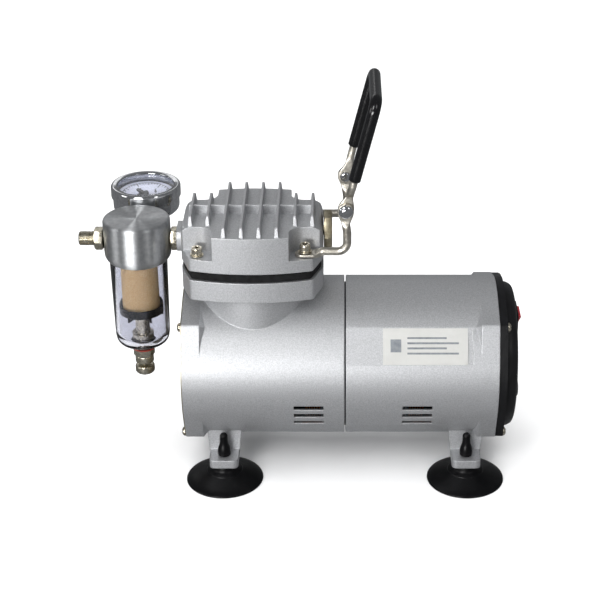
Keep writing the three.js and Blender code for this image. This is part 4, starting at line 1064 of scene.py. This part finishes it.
# ---- Feet ----
def suction_foot(index):
    centre = FEET[index - 1]
    under, over, top = TAB_LOW - 0.3, TAB_TOP + 0.3, cad("suction_foot_1")[1].z
    foot = turned(
        [(0, 5.2), (12, 4.4, 3), (22.8, 0.3, 1), (FOOT_R - 1.2, 0), (FOOT_R, 0.35, 0.4),
         (FOOT_R - 0.5, 1.3, 0.6), (22.6, 3.0, 5), (16, 5.4, 4), (12.2, 7.0, 0.3), (12.0, 7.6, 0.5),
         (10.4, 8.3, 1), (8.8, 9.4, 1.4), (8.4, under - 0.6, 0.5), (8.2, under), (3.1, under),
         (3.1, over), (4.2, over, 0.5), (4.45, 21.2, 1.2), (4.1, 24.2, 2), (2.75, 28, 2), (2.65, 33, 1),
         (2.7, top - 2.2, 1.4), (1.6, top - 0.5, 1), (0, top)],
        (centre.x, centre.y, 0), "z", 0.3, 96,
    )
    finish(foot, f"suction_foot_{index}_moulding", "body", [f"suction_foot_{index}"], black_rubber)


# ---- Handle ----
ROD = 2.7
BAIL_ROD = 2.5
GRIP = 3.9
EYE = 5.2
LEAN = math.radians(14.4)
BAIL_HEIGHT = 75
BAIL_Y = 30.5
BAIL_EYE_Y = 27.6
BRACKET_EYE_Y = 30.4
GRIP_START = 21.2


def eased(value):
    value = max(0.0, min(1.0, value))
    return value * value * (3 - 2 * value)


def eye_section(distance, radius, length, thickness, rod_radius, flat_reach):
    """Half width, half thickness and squareness of a rod flattened into a round eye, from the eye's tip.

    The rod stays flat as far as flat_reach past the eye's centre, so that the two eyes of a pivot pass
    each other.
    """
    if distance < radius:
        width = math.sqrt(max(0.04, radius ** 2 - (radius - distance) ** 2))
    else:
        width = radius + (rod_radius - radius) * eased((distance - radius * 1.15) / length)
    round_again = eased((distance - radius - flat_reach) / 5)
    return width, thickness / 2 + (rod_radius - thickness / 2) * round_again, 6 - 4 * round_again


def handle_bracket(side, name):
    low = cad(name)[0]
    bolt_low, bolt_high = cad("head_bolt_2")
    bolt = (bolt_low + bolt_high) / 2
    y = abs(bolt.y)
    foot_z = low.z
    rod_z = foot_z + ROD + 0.1
    upright = PIVOT.x + 0.9
    path = route(
        [(bolt.x - 6.4, y, foot_z + 1.1), (bolt.x + 7, y, foot_z + 1.1), (bolt.x + 11.5, y, rod_z),
         (upright, y, rod_z), (upright, y, PIVOT.z - 15), (PIVOT.x, BRACKET_EYE_Y, PIVOT.z - 9),
         (PIVOT.x, BRACKET_EYE_Y, PIVOT.z + EYE)],
        6.2, 0.8,
    )

    def section(distance, total):
        width, thick, square = eye_section(total - distance, EYE, 9, 2.4, ROD, 6.5)
        foot = 1 - eased((distance - 12) / 5)
        rounding = min(1, math.sqrt(max(0.02, 1 - max(0, 1 - distance / 4.8) ** 2)))
        along_y = thick * (1 - foot) + 4.8 * foot * rounding
        across = width * (1 - foot) + 1.1 * foot
        return along_y, across, square * (1 - foot) + 7 * foot

    made = swept(path, Vector((0, 1, 0)), section, 28)
    if side < 0:
        made = mirrored(made, "y")
    finish(made, name + "_rod", "body", [name], zinc)


def bail_route(start):
    """The bail's path about its pivot. Below the grip its ends step in to the flat eyes."""
    side = [(0, -BAIL_Y, start), (0, -BAIL_Y, BAIL_HEIGHT)]
    if start < 0:
        side = [(0, -BAIL_EYE_Y, start), (0, -BAIL_EYE_Y, 10), (0, -BAIL_Y, 16), (0, -BAIL_Y, BAIL_HEIGHT)]
    return route(side + [(x, -y, z) for x, y, z in reversed(side)], 7, 0.8)


def leaned(bm):
    return moved(spun(bm, math.degrees(LEAN), "Y"), PIVOT.x, 0, PIVOT.z)


def handle_bail():
    def section(distance, total):
        end = min(distance, total - distance)
        width, thick, square = eye_section(end, EYE, 9, 2.5, BAIL_ROD, 9)
        return width, thick, square

    rod = swept(bail_route(-EYE), Vector((1, 0, 0)), section, 28)
    finish(leaned(rod), "handle_bail_rod", "handle", ["handle_bail"], zinc)


def handle_grip():
    def section(distance, total):
        end = min(distance, total - distance)
        lip = math.sqrt(max(0.0, 1 - max(0, 1 - end / 1.2) ** 2))
        radius = GRIP - 0.9 + 0.9 * lip
        return radius, radius, 2

    sleeve = swept(bail_route(GRIP_START), Vector((1, 0, 0)), section, 32)
    finish(leaned(sleeve), "handle_grip_sleeve", "handle", ["handle_grip"], vinyl)


def rivet(side, name):
    low, high = cad(name)
    inner, outer = (abs(low.y), abs(high.y)) if side > 0 else (abs(high.y), abs(low.y))
    seat = 31.9
    made = turned(
        [(0, inner), (2.8, inner, 0.6), (3.6, inner + 1.2, 0.2), (2.3, inner + 1.2), (2.3, seat),
         (4.7, seat, 0.3), (4.4, seat + 1.3, 1), (2.6, outer - 0.4, 1.4), (0, outer)],
        (PIVOT.x, 0, PIVOT.z), "y", 0.2, 48,
    )
    if side < 0:
        made = mirrored(made, "y")
    finish(made, name + "_head", "body", [name], chrome)


# ---- Label ----
def film(start, end, top, bottom, lift):
    """A thin printed film wrapped on the casing, from one angle to another in degrees down from the top."""
    bm = bmesh.new()
    steps = max(2, int((bottom - top) / 1.5))
    radius = CASING + lift
    rows = []
    for k in range(steps + 1):
        angle = math.radians(top + (bottom - top) * k / steps)
        y, z = -radius * math.sin(angle), SHAFT_Z + radius * math.cos(angle)
        rows.append([bm.verts.new((x, y, z)) for x in (start, end)])
    for a, b in zip(rows, rows[1:]):
        bm.faces.new((a[0], a[1], b[1], b[0]))
    bmesh.ops.solidify(bm, geom=bm.faces[:], thickness=0.1)
    bmesh.ops.recalc_face_normals(bm, faces=bm.faces)
    return bm


def label():
    """A plain rating label with a neutral square and a few bars."""
    start, end, top, bottom = 24.7, 80.5, 43.7, 69.5
    finish(film(start, end, top, bottom, 0.05), "rating_label", "body", [], label_film)
    bars = [film(start + 5, start + 12, top + 8, top + 17, 0.16)]
    for i in range(4):
        short = 6 if i % 2 else 14
        bars.append(film(start + 16, end - short, top + 6.4 + 3.6 * i, top + 7.7 + 3.6 * i, 0.16))
    finish(heap(*bars), "rating_label_print", "body", [], label_ink)


# ---- Inside pieces, seen through the slots ----
def carried_over():
    """CAD nodes whose shapes stay, given their finishes."""
    looks = {
        "stator_core": laminations, "stator_winding": copper, "rotor_core": laminations,
        "motor_shaft": zinc, "shaft_bearing_front": chrome, "shaft_bearing_rear": chrome,
        "big_end_bearing": chrome, "cooling_fan": black_abs, "crank_eccentric": raw_casting_painted_shade,
        "connecting_rod": bare_metal, "piston_cup": black_rubber, "cylinder_liner": bare_metal,
    }
    for name, material in looks.items():
        slots = frame["nodes"][name].data.materials
        slots.clear()
        slots.append(material)


def build():
    crankcase_housing()
    motor_housing()
    bulkheads()
    front_cover()
    rear_cap()
    for i, (y, z) in enumerate(screw_places()):
        pan_screw(f"front_cover_screw_{i + 1}", cad("front_cover")[0].x, y, z, -1)
        pan_screw(f"rear_cap_screw_{i + 1}", cad("rear_cap")[0].x + 5, y, z, 1)
    switch()
    cable_gland()
    cylinder_head()
    valve_plate()
    for i in (1, 2, 3, 4):
        head_bolt(i)
        suction_foot(i)
    exhaust_silencer()
    filter_head()
    filter_bowl()
    filter_insides()
    drain()
    drain_knob()
    hose_nipple()
    joining_nipple()
    gauge_elbow()
    gauge_shell()
    gauge_face()
    gauge_needle()
    handle_bracket(1, "handle_bracket_rear")
    handle_bracket(-1, "handle_bracket_front")
    handle_bail()
    handle_grip()
    rivet(1, "handle_rivet_rear")
    rivet(-1, "handle_rivet_front")
    label()
    carried_over()


# ---- Stage ----
def floor():
    """A pale floor, large enough to fill the view."""
    material, tree, shader = surface("floor_paper_matt", Roughness=0.8)
    tree.links.new(mixed(tree, grain(tree, 40), "#f6f6f6", "#fbfbfb"), shader.inputs["Base Color"])
    bm = bmesh.new()
    bmesh.ops.create_grid(bm, x_segments=2, y_segments=2, size=4)
    mesh = bpy.data.meshes.new("floor")
    bm.to_mesh(mesh)
    bm.free()
    plane = bpy.data.objects.new("floor", mesh)
    mesh.materials.append(material)
    plane.visible_glossy = False
    bpy.context.scene.collection.objects.link(plane)


def softbox(name, place, target, size, power, mirrored_in_metal=True):
    light = bpy.data.lights.new(name, "AREA")
    light.shape = "RECTANGLE"
    light.size, light.size_y = size
    light.energy = power
    lamp = bpy.data.objects.new(name, light)
    lamp.location = place
    lamp.visible_glossy = mirrored_in_metal
    lamp.rotation_euler = (Vector(target) - Vector(place)).to_track_quat("-Z", "Y").to_euler()
    bpy.context.scene.collection.objects.link(lamp)


def studio():
    scene = bpy.context.scene
    world = bpy.data.worlds.new("studio")
    world.use_nodes = True
    background = world.node_tree.nodes["Background"]
    background.inputs["Color"].default_value = linear("#cfd1d4")
    background.inputs["Strength"].default_value = 0.32
    scene.world = world
    scene.view_settings.view_transform = "Standard"
    softbox("left_box", (-0.7, -1.35, 1.42), (-0.05, 0, 0.1), (0.6, 0.7), 12)
    softbox("right_box", (1.0, -1.2, 1.3), (0.05, 0, 0.1), (0.3, 0.7), 3.5)
    softbox("back_box", (-0.6, 1.8, 1.2), (0, 0, 0.1), (1.2, 0.5), 2)
    softbox("end_box", (-1.6, -0.5, 0.7), (-0.1, 0, 0.12), (0.5, 0.6), 5)
    softbox("low_strip", (-0.7, -1.75, 0.32), (-0.05, 0, 0.1), (0.9, 0.5), 25)
    softbox("ceiling", (0, 0.3, 2.4), (0, 0.3, 0), (4.0, 4.0), 110, mirrored_in_metal=False)


def camera():
    data = bpy.data.cameras.new("camera")
    data.sensor_width = 36
    data.lens = 97.2
    data.shift_x = -1 / 15
    view = bpy.data.objects.new("camera", data)
    view.location = Vector((SPLIT - 3.44, -976.91, 611.70)) * MM
    view.rotation_euler = (math.radians(90 - 27), 0, 0)
    bpy.context.scene.collection.objects.link(view)
    bpy.context.scene.camera = view


build()
floor()
studio()
camera()
